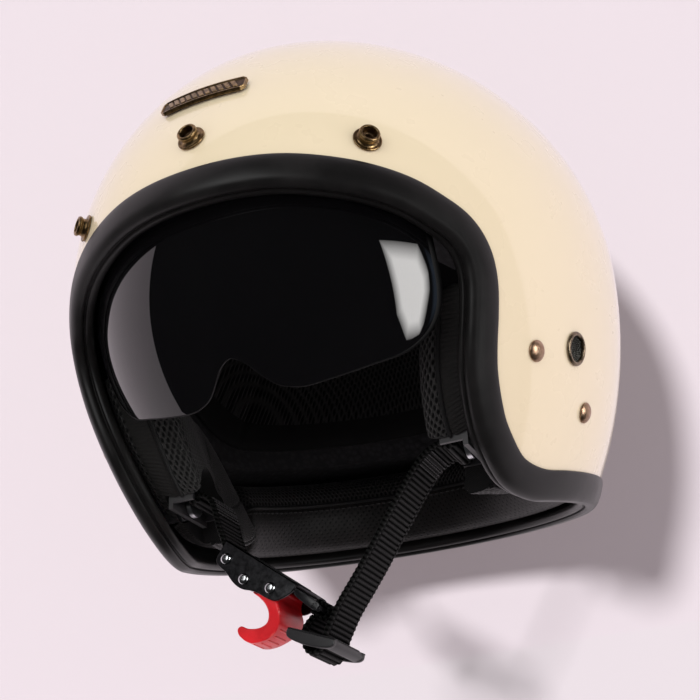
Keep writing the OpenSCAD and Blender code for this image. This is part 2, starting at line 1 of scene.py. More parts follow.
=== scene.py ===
"""Open-face helmet with a smoked visor, soft padding and a ratchet-buckled chin strap.

Sizes are in mm, scaled by MM where Blender takes metres. The helmet stands near z = 0 and
faces -Y, with the wearer's left at +X. Azimuths are degrees about Z, from 0 at the front
through 90 at +X to 180 at the back. A "lift" is a distance outwards from the shell's surface.
"""

import json
import math

import bmesh
import bpy
import numpy as np
from mathutils import Matrix, Vector

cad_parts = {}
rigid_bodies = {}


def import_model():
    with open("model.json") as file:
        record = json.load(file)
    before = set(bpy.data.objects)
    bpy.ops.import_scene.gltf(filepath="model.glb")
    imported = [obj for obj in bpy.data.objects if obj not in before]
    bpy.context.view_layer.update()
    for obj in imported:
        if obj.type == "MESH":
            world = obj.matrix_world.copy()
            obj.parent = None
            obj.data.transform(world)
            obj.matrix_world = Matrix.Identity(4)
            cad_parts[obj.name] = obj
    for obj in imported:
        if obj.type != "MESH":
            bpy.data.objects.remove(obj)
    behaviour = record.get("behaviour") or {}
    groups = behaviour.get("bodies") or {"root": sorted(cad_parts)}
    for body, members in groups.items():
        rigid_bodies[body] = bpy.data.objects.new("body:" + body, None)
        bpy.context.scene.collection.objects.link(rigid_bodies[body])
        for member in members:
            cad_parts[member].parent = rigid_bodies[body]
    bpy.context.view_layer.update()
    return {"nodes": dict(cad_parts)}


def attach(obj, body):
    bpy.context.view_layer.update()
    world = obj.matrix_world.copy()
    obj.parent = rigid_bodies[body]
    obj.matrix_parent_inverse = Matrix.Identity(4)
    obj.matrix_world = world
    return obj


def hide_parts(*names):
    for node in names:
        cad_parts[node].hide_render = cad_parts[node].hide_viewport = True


bpy.ops.object.select_all(action="SELECT")
bpy.ops.object.delete()
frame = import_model()
MM = 0.001
scene = bpy.context.scene


def arr(values):
    return np.asarray(values, float)


# ------------------------------------------------------------------ the shell surface
# A superellipsoid whose half axes differ front to back and top to bottom.
HALF_WIDTH = 117.2
FRONT, BACK = 149.9, 122.1
UP, DOWN = 121.6, 157.3
CENTRE_Z = 103.0
POWER = 1.945
SHELL_THICK = 4.0
CENTRE = arr([0.0, 0.0, CENTRE_Z])

# Upward tilted direction in which the surface meshes close.
POLE = arr([0, math.sin(math.radians(42)), math.cos(math.radians(42))])

VENT = (-44.5, 55.4)  # y, z of the vent hole on each side
STRAP_Y, STRAP_Z = -62, 24  # pivot of the chin strap

# Left half of the shell's rim: azimuth, z
EDGE = [
    (0, 120.6), (7, 120.3), (13, 118.9), (19, 115.8), (25, 111.6), (30.6, 106.1), (34.9, 99.8),
    (38.5, 93.5), (40.4, 86), (40.9, 77), (40.4, 66), (39.6, 54), (39.4, 43), (40.3, 31),
    (42.2, 21), (46.5, 10.5), (51.5, 5.2), (59.5, 2.2), (70, 2), (82, 2), (94, 2), (106, 2),
    (118, 2), (130, 2), (142, 2), (154, 2), (167, 2), (180, 2)]


def unit(vectors):
    return vectors / np.maximum(np.linalg.norm(vectors, axis=-1, keepdims=True), 1e-12)


def half_axes(y, h):
    return np.where(y < 0, FRONT, BACK), np.where(h > 0, UP, DOWN)


def share(value, axis):
    return (np.abs(value) / axis) ** POWER


def normal_at(points):
    x, y, h = np.moveaxis(arr(points) - CENTRE, -1, 0)
    length, height = half_axes(y, h)

    def slope(value, axis):
        return np.sign(value) * (np.abs(value) / axis) ** (POWER - 1) / axis

    return unit(np.stack([slope(x, HALF_WIDTH), slope(y, length), slope(h, height)], -1))


def level(points):
    """1 on the surface, less inside it."""
    x, y, h = np.moveaxis(arr(points) - CENTRE, -1, 0)
    length, height = half_axes(y, h)
    return share(x, HALF_WIDTH) + share(y, length) + share(h, height)


def lifted(points, lift):
    return points + normal_at(points) * arr(lift)[..., None]


def on_shell(directions, lift=0.0):
    rays = unit(arr(directions))
    return lifted(rays * (level(rays + CENTRE) ** (-1 / POWER))[..., None] + CENTRE, lift)


def azimuth_point(azimuth, z, lift=0.0):
    azimuth, z = np.broadcast_arrays(arr(azimuth), arr(z))
    sin, cos = np.sin(np.radians(azimuth)), np.cos(np.radians(azimuth))
    length, height = half_axes(-cos, z - CENTRE_Z)
    rest = np.maximum(1e-6, 1 - share(z - CENTRE_Z, height))
    radius = (rest / (share(sin, HALF_WIDTH) + share(cos, length))) ** (1 / POWER)
    return lifted(np.stack([radius * sin, -radius * cos, z], -1), lift)


def side_point(y, z):
    """The surface point on the left at y, z."""
    length, height = half_axes(y, z - CENTRE_Z)
    rest = max(1e-6, 1 - share(y, length) - share(z - CENTRE_Z, height))
    return arr([HALF_WIDTH * rest ** (1 / POWER), y, z])


def front_point(x, z, lift=0.0):
    x, z = np.broadcast_arrays(arr(x), arr(z))
    length, height = half_axes(-1.0, z - CENTRE_Z)
    rest = np.maximum(1e-6, 1 - share(x, HALF_WIDTH) - share(z - CENTRE_Z, height))
    return lifted(np.stack([x, -length * rest ** (1 / POWER), z], -1), lift)


def slerp(start, end, t):
    angle = np.arccos(np.clip(np.sum(start * end, -1), -1, 1))[..., None]
    return (np.sin((1 - t) * angle) * start + np.sin(t * angle) * end) / np.sin(angle)


# ------------------------------------------------------------------ curves
def catmull_rom(padded, steps):
    """Spline points between all but the two outermost controls, without the last one."""
    def between(a, b, c, d, t):
        cubic = (3 * b - a - 3 * c + d) * t**3
        return 0.5 * ((2 * b) + (c - a) * t + (2 * a - 5 * b + 4 * c - d) * t * t + cubic)

    return arr([between(*padded[i : i + 4], j / steps)
                for i in range(len(padded) - 3) for j in range(steps)])


def spline_line(controls, steps):
    c = arr(controls)
    return np.concatenate([catmull_rom(np.concatenate([c[:1], c, c[-1:]]), steps), c[-1:]])


def spline_loop(controls, steps):
    c = arr(controls)
    return catmull_rom(np.concatenate([c[-1:], c, c[:2]]), steps)


def rim_loop(half, steps):
    """A whole (azimuth, z) loop from its left half."""
    half = arr(half)

    def mirror(points):
        return points * [-1, 1] + [360, 0]

    line = catmull_rom(np.concatenate([half[1:2] * [-1, 1], half, mirror(half[-2:-1])]), steps)
    return np.concatenate([line, half[-1:], mirror(line[:0:-1])])


def run_length(path):
    return np.concatenate([[0], np.cumsum(np.linalg.norm(np.diff(path, axis=0), axis=1))])


def sample(at, lengths, points):
    return np.stack([np.interp(at, lengths, column) for column in points.T], -1)


def tangents(path, closed=False):
    if closed:
        return unit(np.roll(path, -1, 0) - np.roll(path, 1, 0))
    return unit(np.gradient(path, axis=0))


def left_of(flat_tangents):
    return np.stack([-flat_tangents[:, 1], flat_tangents[:, 0]], -1)


def inset(outline, distance):
    """Moves a closed outline inwards along its vertex normals."""
    x, y = arr(outline).T
    area = np.sum(x * np.roll(y, -1) - np.roll(x, -1) * y)
    normals = left_of(tangents(arr(outline), closed=True))
    return outline + normals * (1 if area > 0 else -1) * distance


def rounded_rect(x0, x1, y0, y1, radius, steps=5):
    corners = ((x1 - radius, y1 - radius, 0), (x0 + radius, y1 - radius, 90),
               (x0 + radius, y0 + radius, 180), (x1 - radius, y0 + radius, 270))
    out = []
    for x, y, start in corners:
        for i in range(steps + 1):
            angle = math.radians(start + 90 * i / steps)
            out.append((x + radius * math.cos(angle), y + radius * math.sin(angle)))
    return arr(out)


# ------------------------------------------------------------------ point grids
def lathe(profile, around=64):
    """Profile (radius, height) turned about local z; rows follow the profile."""
    profile = arr(profile)
    a = np.arange(around) * 2 * np.pi / around
    radius, height = profile[:, :1], profile[:, 1:2]
    return np.stack([radius * np.cos(a), radius * np.sin(a), np.repeat(height, around, 1)], -1)


def tube(path, radius, around=10, closed=False, taper=1.0):
    path = arr(path)
    along = tangents(path, closed)
    across = [unit(np.cross(along[0], arr([0.31, 0.52, 0.79])))]
    for t in along[1:]:
        across.append(unit(across[-1] - t * (across[-1] @ t)))
    across = arr(across)
    third = np.cross(along, across)
    a = (np.arange(around) * 2 * np.pi / around)[None, :, None]
    size = (radius * np.ones(len(path)) * taper)[:, None, None]
    return path[:, None] + size * (np.cos(a) * across[:, None] + np.sin(a) * third[:, None])


def upsample(grid, rows, cols):
    """Spline refinement of a grid; rows open, columns wrapped."""
    grid = spline_line(grid, rows)
    return spline_loop(grid.transpose(1, 0, 2), cols).transpose(1, 0, 2)


def grid_normals(grid):
    down = np.gradient(grid, axis=0)
    across = (np.roll(grid, -1, 1) - np.roll(grid, 1, 1)) / 2
    normals = np.cross(across, down)
    normals /= np.maximum(np.linalg.norm(normals, axis=-1, keepdims=True), 1e-9)
    normals[0] = unit(normals[1].mean(0))
    normals[-1] = unit(normals[-2].mean(0))
    return normals


def outward_normals(grid, centre):
    normals = grid_normals(grid)
    return -normals if np.sum((grid - centre) * normals) < 0 else normals


def grid_faces(rows, cols, wrap_rows=False, wrap_cols=True, first=0):
    r = np.arange(rows if wrap_rows else rows - 1)
    c = np.arange(cols if wrap_cols else cols - 1)
    r, c = np.meshgrid(r, c, indexing="ij")
    r2, c2 = (r + 1) % rows, (c + 1) % cols
    quads = np.stack([r * cols + c, r * cols + c2, r2 * cols + c2, r2 * cols + c], -1)
    return (quads.reshape(-1, 4) + first).tolist()


def bump_at(value, centre, width):
    """A bell curve, used for seams."""
    return np.exp(-(((value - centre) / width) ** 2))


# ------------------------------------------------------------------ meshes
def link(name, data):
    ob = bpy.data.objects.new(name, data)
    scene.collection.objects.link(ob)
    return ob


def new_mesh(name, points, faces):
    mesh = bpy.data.meshes.new(name)
    mesh.from_pydata((points * MM).tolist(), [], faces)
    return mesh


def orient(mesh, merge=0.0):
    """Turns the faces outwards, after merging points closer than merge (mm)."""
    bm = bmesh.new()
    bm.from_mesh(mesh)
    if merge:
        bmesh.ops.remove_doubles(bm, verts=bm.verts, dist=merge * MM)
        bmesh.ops.dissolve_degenerate(bm, edges=bm.edges, dist=1e-7)
    bmesh.ops.recalc_face_normals(bm, faces=bm.faces)
    bm.to_mesh(mesh)
    bm.free()


def smooth(mesh, sharp=0):
    mesh.polygons.foreach_set("use_smooth", np.ones(len(mesh.polygons), bool))
    if sharp:
        mesh.set_sharp_from_angle(angle=math.radians(sharp))


class Piece:
    """The geometry of one object; each face keeps the number of its material slot."""

    def __init__(self):
        self.points = np.zeros((0, 3))
        self.uv = np.zeros((0, 3))
        self.faces = []
        self.slots = []

    def add(self, points, faces, slots, uv=None):
        first = len(self.points)
        points = arr(points).reshape(-1, 3)
        flat = np.zeros_like(points)
        if uv is not None:
            flat[:, :2] = uv.reshape(-1, 2)
        self.points = np.concatenate([self.points, points])
        self.uv = np.concatenate([self.uv, flat])
        self.faces += [tuple(i + first for i in face) for face in faces]
        self.slots += list(slots)
        return self

    def skin(self, grid, wrap_rows=False, wrap_cols=True, caps=(False, False), slots=0, uv=None):
        rows, cols = grid.shape[:2]
        faces = grid_faces(rows, cols, wrap_rows, wrap_cols)
        slots = list(np.broadcast_to(np.ravel(slots).astype(int), len(faces)))
        if caps[0]:
            faces.append(tuple(range(cols))[::-1])
            slots.append(slots[0])
        if caps[1]:
            faces.append(tuple(range((rows - 1) * cols, rows * cols)))
            slots.append(slots[-1])
        return self.add(grid, faces, slots, uv)

    def solid(self, grid, **more):
        return self.skin(grid, caps=(True, True), **more)

    def ring(self, grid, **more):
        return self.skin(grid, wrap_rows=True, **more)

    def prism(self, outline, z0, z1, bevel, place, steps=4):
        """An outline extruded along z with rolled edges, then placed."""
        roll = [(bevel * (1 - math.sin(a)), bevel * (1 - math.cos(a)))
                for a in np.linspace(0, math.pi / 2, steps + 1)]
        layers = [(d, z0 + rise) for d, rise in roll] + [(d, z1 - rise) for d, rise in roll[::-1]]
        grid = [np.column_stack([inset(outline, d), np.full(len(outline), z)]) for d, z in layers]
        return self.solid(place(arr(grid)))

    def build(self, name, materials, slot, replaces=None, body="helmet", sharp=0, merge=0.0,
              finish=None):
        mesh = new_mesh(name, self.points, self.faces)
        fuv = mesh.attributes.new("fuv", "FLOAT_VECTOR", "POINT")
        fuv.data.foreach_set("vector", self.uv.astype(np.float32).ravel())
        for key in materials:
            mesh.materials.append(MATERIALS[key])
        mesh.polygons.foreach_set("material_index", np.array(self.slots, np.int32))
        mesh.update()
        orient(mesh, merge)
        smooth(mesh, sharp)
        ob = link(name, mesh)
        if finish:
            finish(ob)
        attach(ob, body)
        if replaces:
            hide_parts(replaces)


def subtract(ob, cutter, material=None):
    """Cuts a piece out of an object; the cut faces take the material, if one is given."""
    mesh = new_mesh("cut", cutter.points, cutter.faces)
    orient(mesh)
    cut = link("cut", mesh)
    boolean = ob.modifiers.new("cut", "BOOLEAN")
    boolean.operation = "DIFFERENCE"
    boolean.object = cut
    boolean.solver = "EXACT"
    if material:
        mesh.materials.append(material)
        boolean.material_mode = "TRANSFER"
    evaluated = ob.evaluated_get(bpy.context.evaluated_depsgraph_get())
    result = bpy.data.meshes.new_from_object(evaluated)
    ob.modifiers.clear()
    ob.data = result
    bpy.data.objects.remove(cut)
    return result


def fitting_frame(point, side=1):
    """Axes (x, y, normal) and origin of a fitting on the shell; side -1 mirrors it to the right."""
    normal = normal_at(point)
    x = unit(np.cross([0, 0, 1.0], normal))
    mirror = arr([side, 1, 1])
    return np.stack([x, np.cross(normal, x), normal]) * mirror, point * mirror


def placed(local, place):
    axes, origin = place
    return local @ axes + origin


CLOTH = dict(
    quality=4, mass=0.3, tension_stiffness=15, compression_stiffness=15, shear_stiffness=5,
    bending_stiffness=0.5, use_pressure=True, vertex_group_mass="pin", pin_stiffness=1.0)


def pillow(grid, pinned, pressure, limit, frames):
    """Inflates a closed grid with the cloth solver, moving no point further than limit.

    The first point of the first and of the last row serve as poles.
    """
    rows, cols = grid.shape[:2]
    points = np.concatenate([grid[0, :1], grid[1:-1].reshape(-1, 3), grid[-1, :1]])
    faces = grid_faces(rows - 2, cols, first=1)
    last = len(points) - 1
    last_ring = 1 + (rows - 3) * cols
    for c in range(cols):
        c2 = (c + 1) % cols
        faces.append((0, 1 + c2, 1 + c))
        faces.append((last, last_ring + c, last_ring + c2))
    mesh = new_mesh("sim", points, faces)
    orient(mesh)
    ob = link("sim", mesh)
    pin = np.concatenate([pinned[0, :1], pinned[1:-1].ravel(), pinned[-1, :1]])
    group = ob.vertex_groups.new(name="pin")
    group.add(np.nonzero(pin > 0.5)[0].tolist(), 1.0, "REPLACE")
    cloth = ob.modifiers.new("cloth", "CLOTH")
    for key, value in CLOTH.items():
        setattr(cloth.settings, key, value)
    cloth.settings.uniform_pressure_force = pressure
    cloth.settings.effector_weights.gravity = 0
    cloth.collision_settings.use_collision = False
    cloth.collision_settings.use_self_collision = False
    cloth.point_cache.frame_start = 1
    cloth.point_cache.frame_end = frames
    for number in range(1, frames + 1):
        scene.frame_set(number)
    evaluated = ob.evaluated_get(bpy.context.evaluated_depsgraph_get())
    moved = np.zeros(len(points) * 3, np.float32)
    evaluated.data.vertices.foreach_get("co", moved)
    bpy.data.objects.remove(ob)
    scene.frame_set(1)
    shift = moved.reshape(-1, 3).astype(float) / MM - points
    distance = np.linalg.norm(shift, axis=1, keepdims=True)
    points = points + shift * np.minimum(1.0, limit / np.maximum(distance, 1e-9))
    out = grid.copy()
    out[0] = points[0]
    out[-1] = points[-1]
    out[1:-1] = points[1:-1].reshape(rows - 2, cols, 3)
    return out


# ------------------------------------------------------------------ shader helpers
class Nodes:
    """Short calls for building a node tree."""

    def __init__(self, tree):
        self.tree = tree

    def put(self, socket, value):
        if isinstance(value, bpy.types.Node):
            value = value.outputs[0]
        if isinstance(value, bpy.types.NodeSocket):
            self.tree.links.new(value, socket)
        elif isinstance(value, tuple) and socket.type == "RGBA":
            socket.default_value = (*value, 1)
        else:
            socket.default_value = value

    def node(self, kind, *inputs, props=None, **named):
        node = self.tree.nodes.new("ShaderNode" + kind)
        for key, value in (props or {}).items():
            setattr(node, key, value)
        for i, value in enumerate(inputs):
            self.put(node.inputs[i], value)
        for key, value in named.items():
            self.put(node.inputs[key.replace("_", " ")], value)
        return node

    def math(self, operation, a, b=0.0, c=0.0):
        return self.node("Math", a, b, c, props={"operation": operation})

    def times(self, value, by):
        return self.math("MULTIPLY", value, by)

    def scaled(self, value, by, plus):
        return self.math("MULTIPLY_ADD", value, by, plus)

    def mix(self, amount, a, b):
        node = self.node("Mix", amount, props={"data_type": "RGBA"})
        self.put(node.inputs[6], a)
        self.put(node.inputs[7], b)
        return node.outputs[2]

    def ramp(self, value, *stops):
        node = self.node("ValToRGB", value)
        for element, (position, color) in zip(node.color_ramp.elements, stops):
            element.position = position
            element.color = (*color, 1)
        return node

    def rise(self, value, lo, hi):
        return self.ramp(value, (lo, (0, 0, 0)), (hi, (1, 1, 1)))

    def fall(self, value, lo, hi):
        return self.ramp(value, (lo, (1, 1, 1)), (hi, (0, 0, 0)))


class Surface(Nodes):
    """A Principled material textured in object space, in metres."""

    def __init__(self, name):
        self.material = bpy.data.materials.new(name)
        self.material.use_nodes = True
        super().__init__(self.material.node_tree)
        self.place = self.node("TexCoord").outputs["Object"]

    def noise(self, scale, detail=3, rough=0.5):
        node = self.node("TexNoise", Vector=self.place, Scale=scale, Detail=detail, Roughness=rough)
        return node.outputs["Fac"]

    def voronoi(self, scale):
        return self.node("TexVoronoi", Vector=self.place, Scale=scale).outputs["Distance"]

    def fuv(self):
        """The 'fuv' attribute: flat fabric coordinates in mm."""
        attribute = self.node("Attribute", props={"attribute_name": "fuv"})
        split = self.node("SeparateXYZ", Vector=attribute.outputs["Vector"])
        return split.outputs[0], split.outputs[1]

    def bump(self, height, distance, strength, under=None):
        node = self.node("Bump", Height=height, Distance=distance, Strength=strength)
        if under is not None:
            self.put(node.inputs["Normal"], under)
        return node

    def pointiness(self):
        return self.node("NewGeometry").outputs["Pointiness"]

    def finish(self, **inputs):
        """Sets the Principled inputs and returns the material."""
        principled = self.tree.nodes["Principled BSDF"]
        for key, value in inputs.items():
            self.put(principled.inputs[key.replace("_", " ")], value)
        return self.material


def staggered(m, pitches, squares):
    """Distance to the nearest cell centre of a staggered grid laid over 'fuv'."""
    uv = m.fuv()

    def one(shift):
        parts = []
        for coord, pitch, square in zip(uv, pitches, squares):
            cell = m.math("FRACT", m.math("ADD", m.math("DIVIDE", coord, pitch), shift))
            parts.append(square(m.math("SUBTRACT", cell, 0.5)))
        return m.math("SQRT", m.math("ADD", *parts))

    return m.math("MINIMUM", one(0.0), one(0.5))


# ------------------------------------------------------------------ materials
def paint():
    m = Surface("cream_gloss_paint")
    cloud = m.rise(m.noise(scale=9, detail=2), lo=0.3, hi=0.7)
    flake = m.rise(m.noise(scale=1500, detail=2), lo=0.45, hi=0.75)
    color = m.mix(cloud, (0.85, 0.745, 0.50), (0.875, 0.77, 0.535))
    return m.finish(
        Base_Color=m.mix(m.times(flake, by=0.03), color, (0.93, 0.85, 0.7)),
        Roughness=m.scaled(m.noise(scale=60), by=0.08, plus=0.24),
        Coat_Weight=1.0, Coat_Roughness=0.045, Coat_IOR=1.5, Specular_IOR_Level=0.35,
        Normal=m.bump(m.noise(scale=420, detail=2), distance=0.00001, strength=0.03),
        Coat_Normal=m.bump(m.noise(scale=22, detail=1), distance=0.00004, strength=0.02))


def rubber():
    m = Surface("satin_trim_rubber")
    grain = m.noise(scale=2600)
    scuff = m.rise(m.noise(scale=45, detail=5, rough=0.65), lo=0.42, hi=0.72)
    return m.finish(
        Base_Color=m.mix(scuff, (0.006, 0.0058, 0.0056), (0.0115, 0.011, 0.0105)),
        Roughness=m.scaled(scuff, by=0.1, plus=0.36), Specular_IOR_Level=0.32,
        Normal=m.bump(grain, distance=0.00003, strength=0.35))


def plastic(name, base, rough, grain=900, depth=0.00004, wear=(0.05, 0.05, 0.05)):
    m = Surface(name)
    scuff = m.rise(m.noise(scale=110, detail=4, rough=0.6), lo=0.4, hi=0.75)
    lighter = tuple(min(1, c * 1.6 + 0.004) for c in base)
    color = m.mix(m.times(scuff, by=0.5), base, lighter)
    edges = m.rise(m.pointiness(), lo=0.52, hi=0.6)
    return m.finish(
        Base_Color=m.mix(m.times(edges, by=0.5), color, wear),
        Roughness=m.scaled(m.noise(scale=70), by=0.18, plus=rough - 0.08),
        Normal=m.bump(m.voronoi(grain), distance=depth, strength=0.4))


def smoke_lens():
    m = Surface("smoke_lens")
    smoke = m.rise(m.noise(scale=14, detail=4), lo=0.35, hi=0.75)
    return m.finish(
        Base_Color=m.mix(smoke, (0.003, 0.003, 0.0035), (0.0045, 0.0045, 0.005)),
        Roughness=m.scaled(smoke, by=0.012, plus=0.012), IOR=1.5, Transmission_Weight=0.12,
        Specular_IOR_Level=0.5, Coat_Weight=0.12, Coat_Roughness=0.01,
        Normal=m.bump(m.noise(scale=30, detail=1), distance=0.00002, strength=0.03))


def lens_edge():
    m = Surface("ground_lens_edge")
    grain = m.noise(scale=900, detail=2)
    return m.finish(
        Base_Color=m.mix(grain, (0.002, 0.002, 0.0022), (0.006, 0.006, 0.0065)),
        Roughness=0.55, IOR=1.5, Specular_IOR_Level=0.2,
        Normal=m.bump(grain, distance=0.00002, strength=0.2))


def metal(name, dark, light, rough, scale, grime_and_shade, grime_and_shade_amount):
    m = Surface(name)
    tone = m.rise(m.noise(scale * 10, detail=4, rough=0.6), lo=0.35, hi=0.7)
    patches = m.rise(m.noise(scale * 3, detail=5, rough=0.7), lo=0.4, hi=0.65)
    color = m.mix(tone, dark, light)
    # Painted shade: hollows found by pointiness are darkened, mixed with noise patches of real
    # grime
    crevice_shade = m.fall(m.pointiness(), lo=0.42, hi=0.5)
    dirt_and_crevice_shade = m.times(m.math("MAXIMUM", crevice_shade, m.times(patches, by=0.45)), by=grime_and_shade_amount)
    color = m.mix(dirt_and_crevice_shade, color, grime_and_shade)
    # Painted highlight: convex edges found by pointiness take a brighter copy of the light colour
    edges = m.times(m.rise(m.pointiness(), lo=0.53, hi=0.62), by=0.6)
    return m.finish(
        Base_Color=m.mix(edges, color, tuple(min(1, c * 1.5) for c in light)),
        Metallic=1.0, Roughness=m.scaled(dirt_and_crevice_shade, by=0.3, plus=rough),
        Normal=m.bump(m.noise(scale * 40), distance=0.00002, strength=0.4))


def fabric(name, dark, light, weave, rough=0.85, sheen=0.35):
    """A plain weave: three crossed wave sets blended by the surface direction."""
    m = Surface(name)
    split = m.node("SeparateXYZ", Vector=m.place)
    waves = [m.math("SINE", m.times(split.outputs[i], by=2 * math.pi / weave)) for i in range(3)]
    normal = m.node("TexCoord").outputs["Normal"]
    absolute = m.node("VectorMath", normal, props={"operation": "ABSOLUTE"})
    facing = m.node("SeparateXYZ", Vector=absolute)
    crossed = [m.times(m.times(waves[i], waves[j]), facing.outputs[k])
               for i, j, k in ((1, 2, 0), (0, 2, 1), (0, 1, 2))]
    total = m.math("ADD", m.math("ADD", crossed[0], crossed[1]), crossed[2])
    threads = m.scaled(total, by=0.5, plus=0.5)
    fuzz = m.noise(scale=1800, detail=4, rough=0.7)
    broad = m.rise(m.noise(scale=26), lo=0.35, hi=0.7)
    color = m.mix(threads, dark, light)
    return m.finish(
        Base_Color=m.mix(m.times(broad, by=0.4), color, light), Roughness=rough,
        Sheen_Weight=sheen, Sheen_Roughness=0.4, Sheen_Tint=(0.5, 0.5, 0.52),
        Specular_IOR_Level=0.25,
        Normal=m.bump(m.scaled(fuzz, by=0.5, plus=threads), distance=0.00012, strength=0.8))


def air_mesh():
    """Spacer mesh: staggered rounded cells with dark holes."""
    m = Surface("air_mesh_fabric")

    def squared(stretch):
        return lambda value: m.math("POWER", m.math("ABSOLUTE", m.times(value, stretch)), 2.0)

    cells = staggered(m, pitches=(2.5, 4.0), squares=(squared(2.0), squared(2.5)))
    hole = m.rise(cells, lo=0.42, hi=0.72)
    fuzz = m.noise(scale=2200)
    return m.finish(
        Base_Color=m.mix(hole, (0.0006, 0.0006, 0.0006), (0.02, 0.0205, 0.019)),
        Roughness=0.7, Sheen_Weight=0.08, Sheen_Roughness=0.35, Specular_IOR_Level=0.3,
        Normal=m.bump(m.scaled(fuzz, by=0.15, plus=hole), distance=0.0006, strength=1.0))


def perforated():
    """Black leatherette with a fine grain and rows of punched holes."""
    m = Surface("perforated_leatherette")

    def squared(value):
        return m.times(value, value)

    dots = staggered(m, pitches=(3.4, 3.4), squares=(squared, squared))
    hole = m.rise(dots, lo=0.12, hi=0.17)
    grain = m.voronoi(scale=1100)
    tone = m.rise(m.noise(scale=70), lo=0.4, hi=0.7)
    color = m.mix(tone, (0.0075, 0.0068, 0.0062), (0.013, 0.0118, 0.0108))
    leather = m.bump(grain, distance=0.00006, strength=0.5)
    return m.finish(
        Base_Color=m.mix(hole, (0.0008, 0.0008, 0.0008), color),
        Roughness=m.scaled(grain, by=0.15, plus=0.38), Specular_IOR_Level=0.4,
        Normal=m.bump(hole, distance=0.0005, strength=1.0, under=leather))


def webbing_weave():
    m = Surface("ribbed_webbing")
    rib_pitch = 2.0
    selvage_at = 8.8  # distance from the middle of the band
    along, across = m.fuv()
    skew = m.times(across, by=4.0)
    warp = m.math("SINE", m.scaled(along, by=2 * math.pi / 0.75, plus=skew))
    weft = m.math("SINE", m.times(across, by=2 * math.pi / 0.9))
    weave = m.scaled(m.times(warp, weft), by=0.5, plus=0.5)
    fuzz = m.noise(scale=2600)
    color = m.mix(weave, (0.0012, 0.0015, 0.0012), (0.0058, 0.0066, 0.0056))
    fade = m.times(m.rise(m.noise(scale=40), lo=0.4, hi=0.7), by=0.3)
    color = m.mix(fade, color, (0.010, 0.011, 0.0095))
    # the ribs of the selvage run half a pitch out of step
    selvage = m.math("GREATER_THAN", m.math("ABSOLUTE", across), selvage_at)
    phase = m.times(m.math("ADD", along, selvage), by=2 * math.pi / rib_pitch)
    groove = m.scaled(m.math("COSINE", phase), by=0.5, plus=0.5)
    # Painted shade: the grooves between the ribs are painted near black
    return m.finish(
        Base_Color=m.mix(m.fall(groove, lo=0.1, hi=0.62), color, (0.0004, 0.0004, 0.0004)),
        Roughness=0.58, Sheen_Weight=0.02, Sheen_Roughness=0.35, Sheen_Tint=(0.6, 0.62, 0.6),
        Specular_IOR_Level=m.scaled(groove, by=0.2, plus=0.01),
        Normal=m.bump(m.scaled(fuzz, by=0.4, plus=weave), distance=0.00012, strength=0.7))


def foam(name, base):
    m = Surface(name)
    cells = m.voronoi(scale=330)
    lighter = tuple(c * 1.5 for c in base)
    return m.finish(
        Base_Color=m.mix(m.rise(cells, lo=0.2, hi=0.6), lighter, base), Roughness=0.8,
        Specular_IOR_Level=0.3, Normal=m.bump(cells, distance=-0.0005, strength=0.6))


MATERIALS = {
    "paint": paint(),
    "rubber": rubber(),
    "black": plastic("moulded_black_plastic", (0.012, 0.012, 0.013), rough=0.42),
    "gloss_black": plastic("gloss_black_plastic", (0.006, 0.006, 0.007), rough=0.2, grain=600,
                           depth=0.00001),
    "foam": foam("impact_foam", (0.02, 0.02, 0.021)),
    "core": foam("soft_foam", (0.05, 0.05, 0.052)),
    "lining": fabric("brushed_lining", (0.0025, 0.0026, 0.0026), (0.008, 0.0082, 0.008),
                     weave=0.0009, sheen=0.07),
    "gusset": fabric("ribbed_gusset_fabric", (0.005, 0.0049, 0.0045), (0.013, 0.0127, 0.0115),
                     weave=0.0006, sheen=0.1),
    "piping": fabric("piping_cord", (0.003, 0.003, 0.003), (0.012, 0.012, 0.012),
                     weave=0.0008, rough=0.55, sheen=0.06),
    "air_mesh": air_mesh(),
    "perforated": perforated(),
    "webbing": webbing_weave(),
    "thread": fabric("stitch_thread", (0.018, 0.018, 0.018), (0.045, 0.045, 0.045),
                     weave=0.0005, rough=0.55, sheen=0.2),
}
# key, name, dark colour, light colour, roughness, noise scale, colour of grime and painted crevice
# shade, amount of grime and painted crevice shade
METALS = [
    ("bronze", "antique_bronze", (0.14, 0.088, 0.038), (0.46, 0.31, 0.15), 0.3, 60,
     (0.012, 0.008, 0.005), 0.75),
    ("bronze_dark", "dark_bronze", (0.05, 0.03, 0.017), (0.12, 0.075, 0.04), 0.42, 60,
     (0.008, 0.006, 0.004), 0.7),
    ("gilt", "badge_gilt", (0.30, 0.19, 0.075), (0.62, 0.44, 0.22), 0.34, 60,
     (0.05, 0.03, 0.012), 0.45),
    ("copper", "rivet_copper", (0.33, 0.20, 0.125), (0.54, 0.375, 0.26), 0.36, 50,
     (0.06, 0.034, 0.02), 0.6),
    ("eyelet", "eyelet_bronze", (0.15, 0.11, 0.075), (0.33, 0.26, 0.18), 0.3, 50,
     (0.025, 0.018, 0.012), 0.55),
    ("wire", "mesh_wire", (0.03, 0.03, 0.027), (0.10, 0.10, 0.09), 0.42, 90,
     (0.008, 0.008, 0.007), 0.6),
    ("zinc", "zinc_steel", (0.42, 0.43, 0.45), (0.62, 0.63, 0.65), 0.3, 40,
     (0.1, 0.1, 0.1), 0.4),
    ("pin", "bright_pin_steel", (0.6, 0.61, 0.63), (0.8, 0.81, 0.83), 0.16, 60,
     (0.15, 0.15, 0.15), 0.35),
    ("black_steel", "black_steel", (0.03, 0.03, 0.032), (0.085, 0.085, 0.09), 0.34, 50,
     (0.008, 0.008, 0.008), 0.6),
]
for key, *recipe in METALS:
    MATERIALS[key] = metal(*recipe)
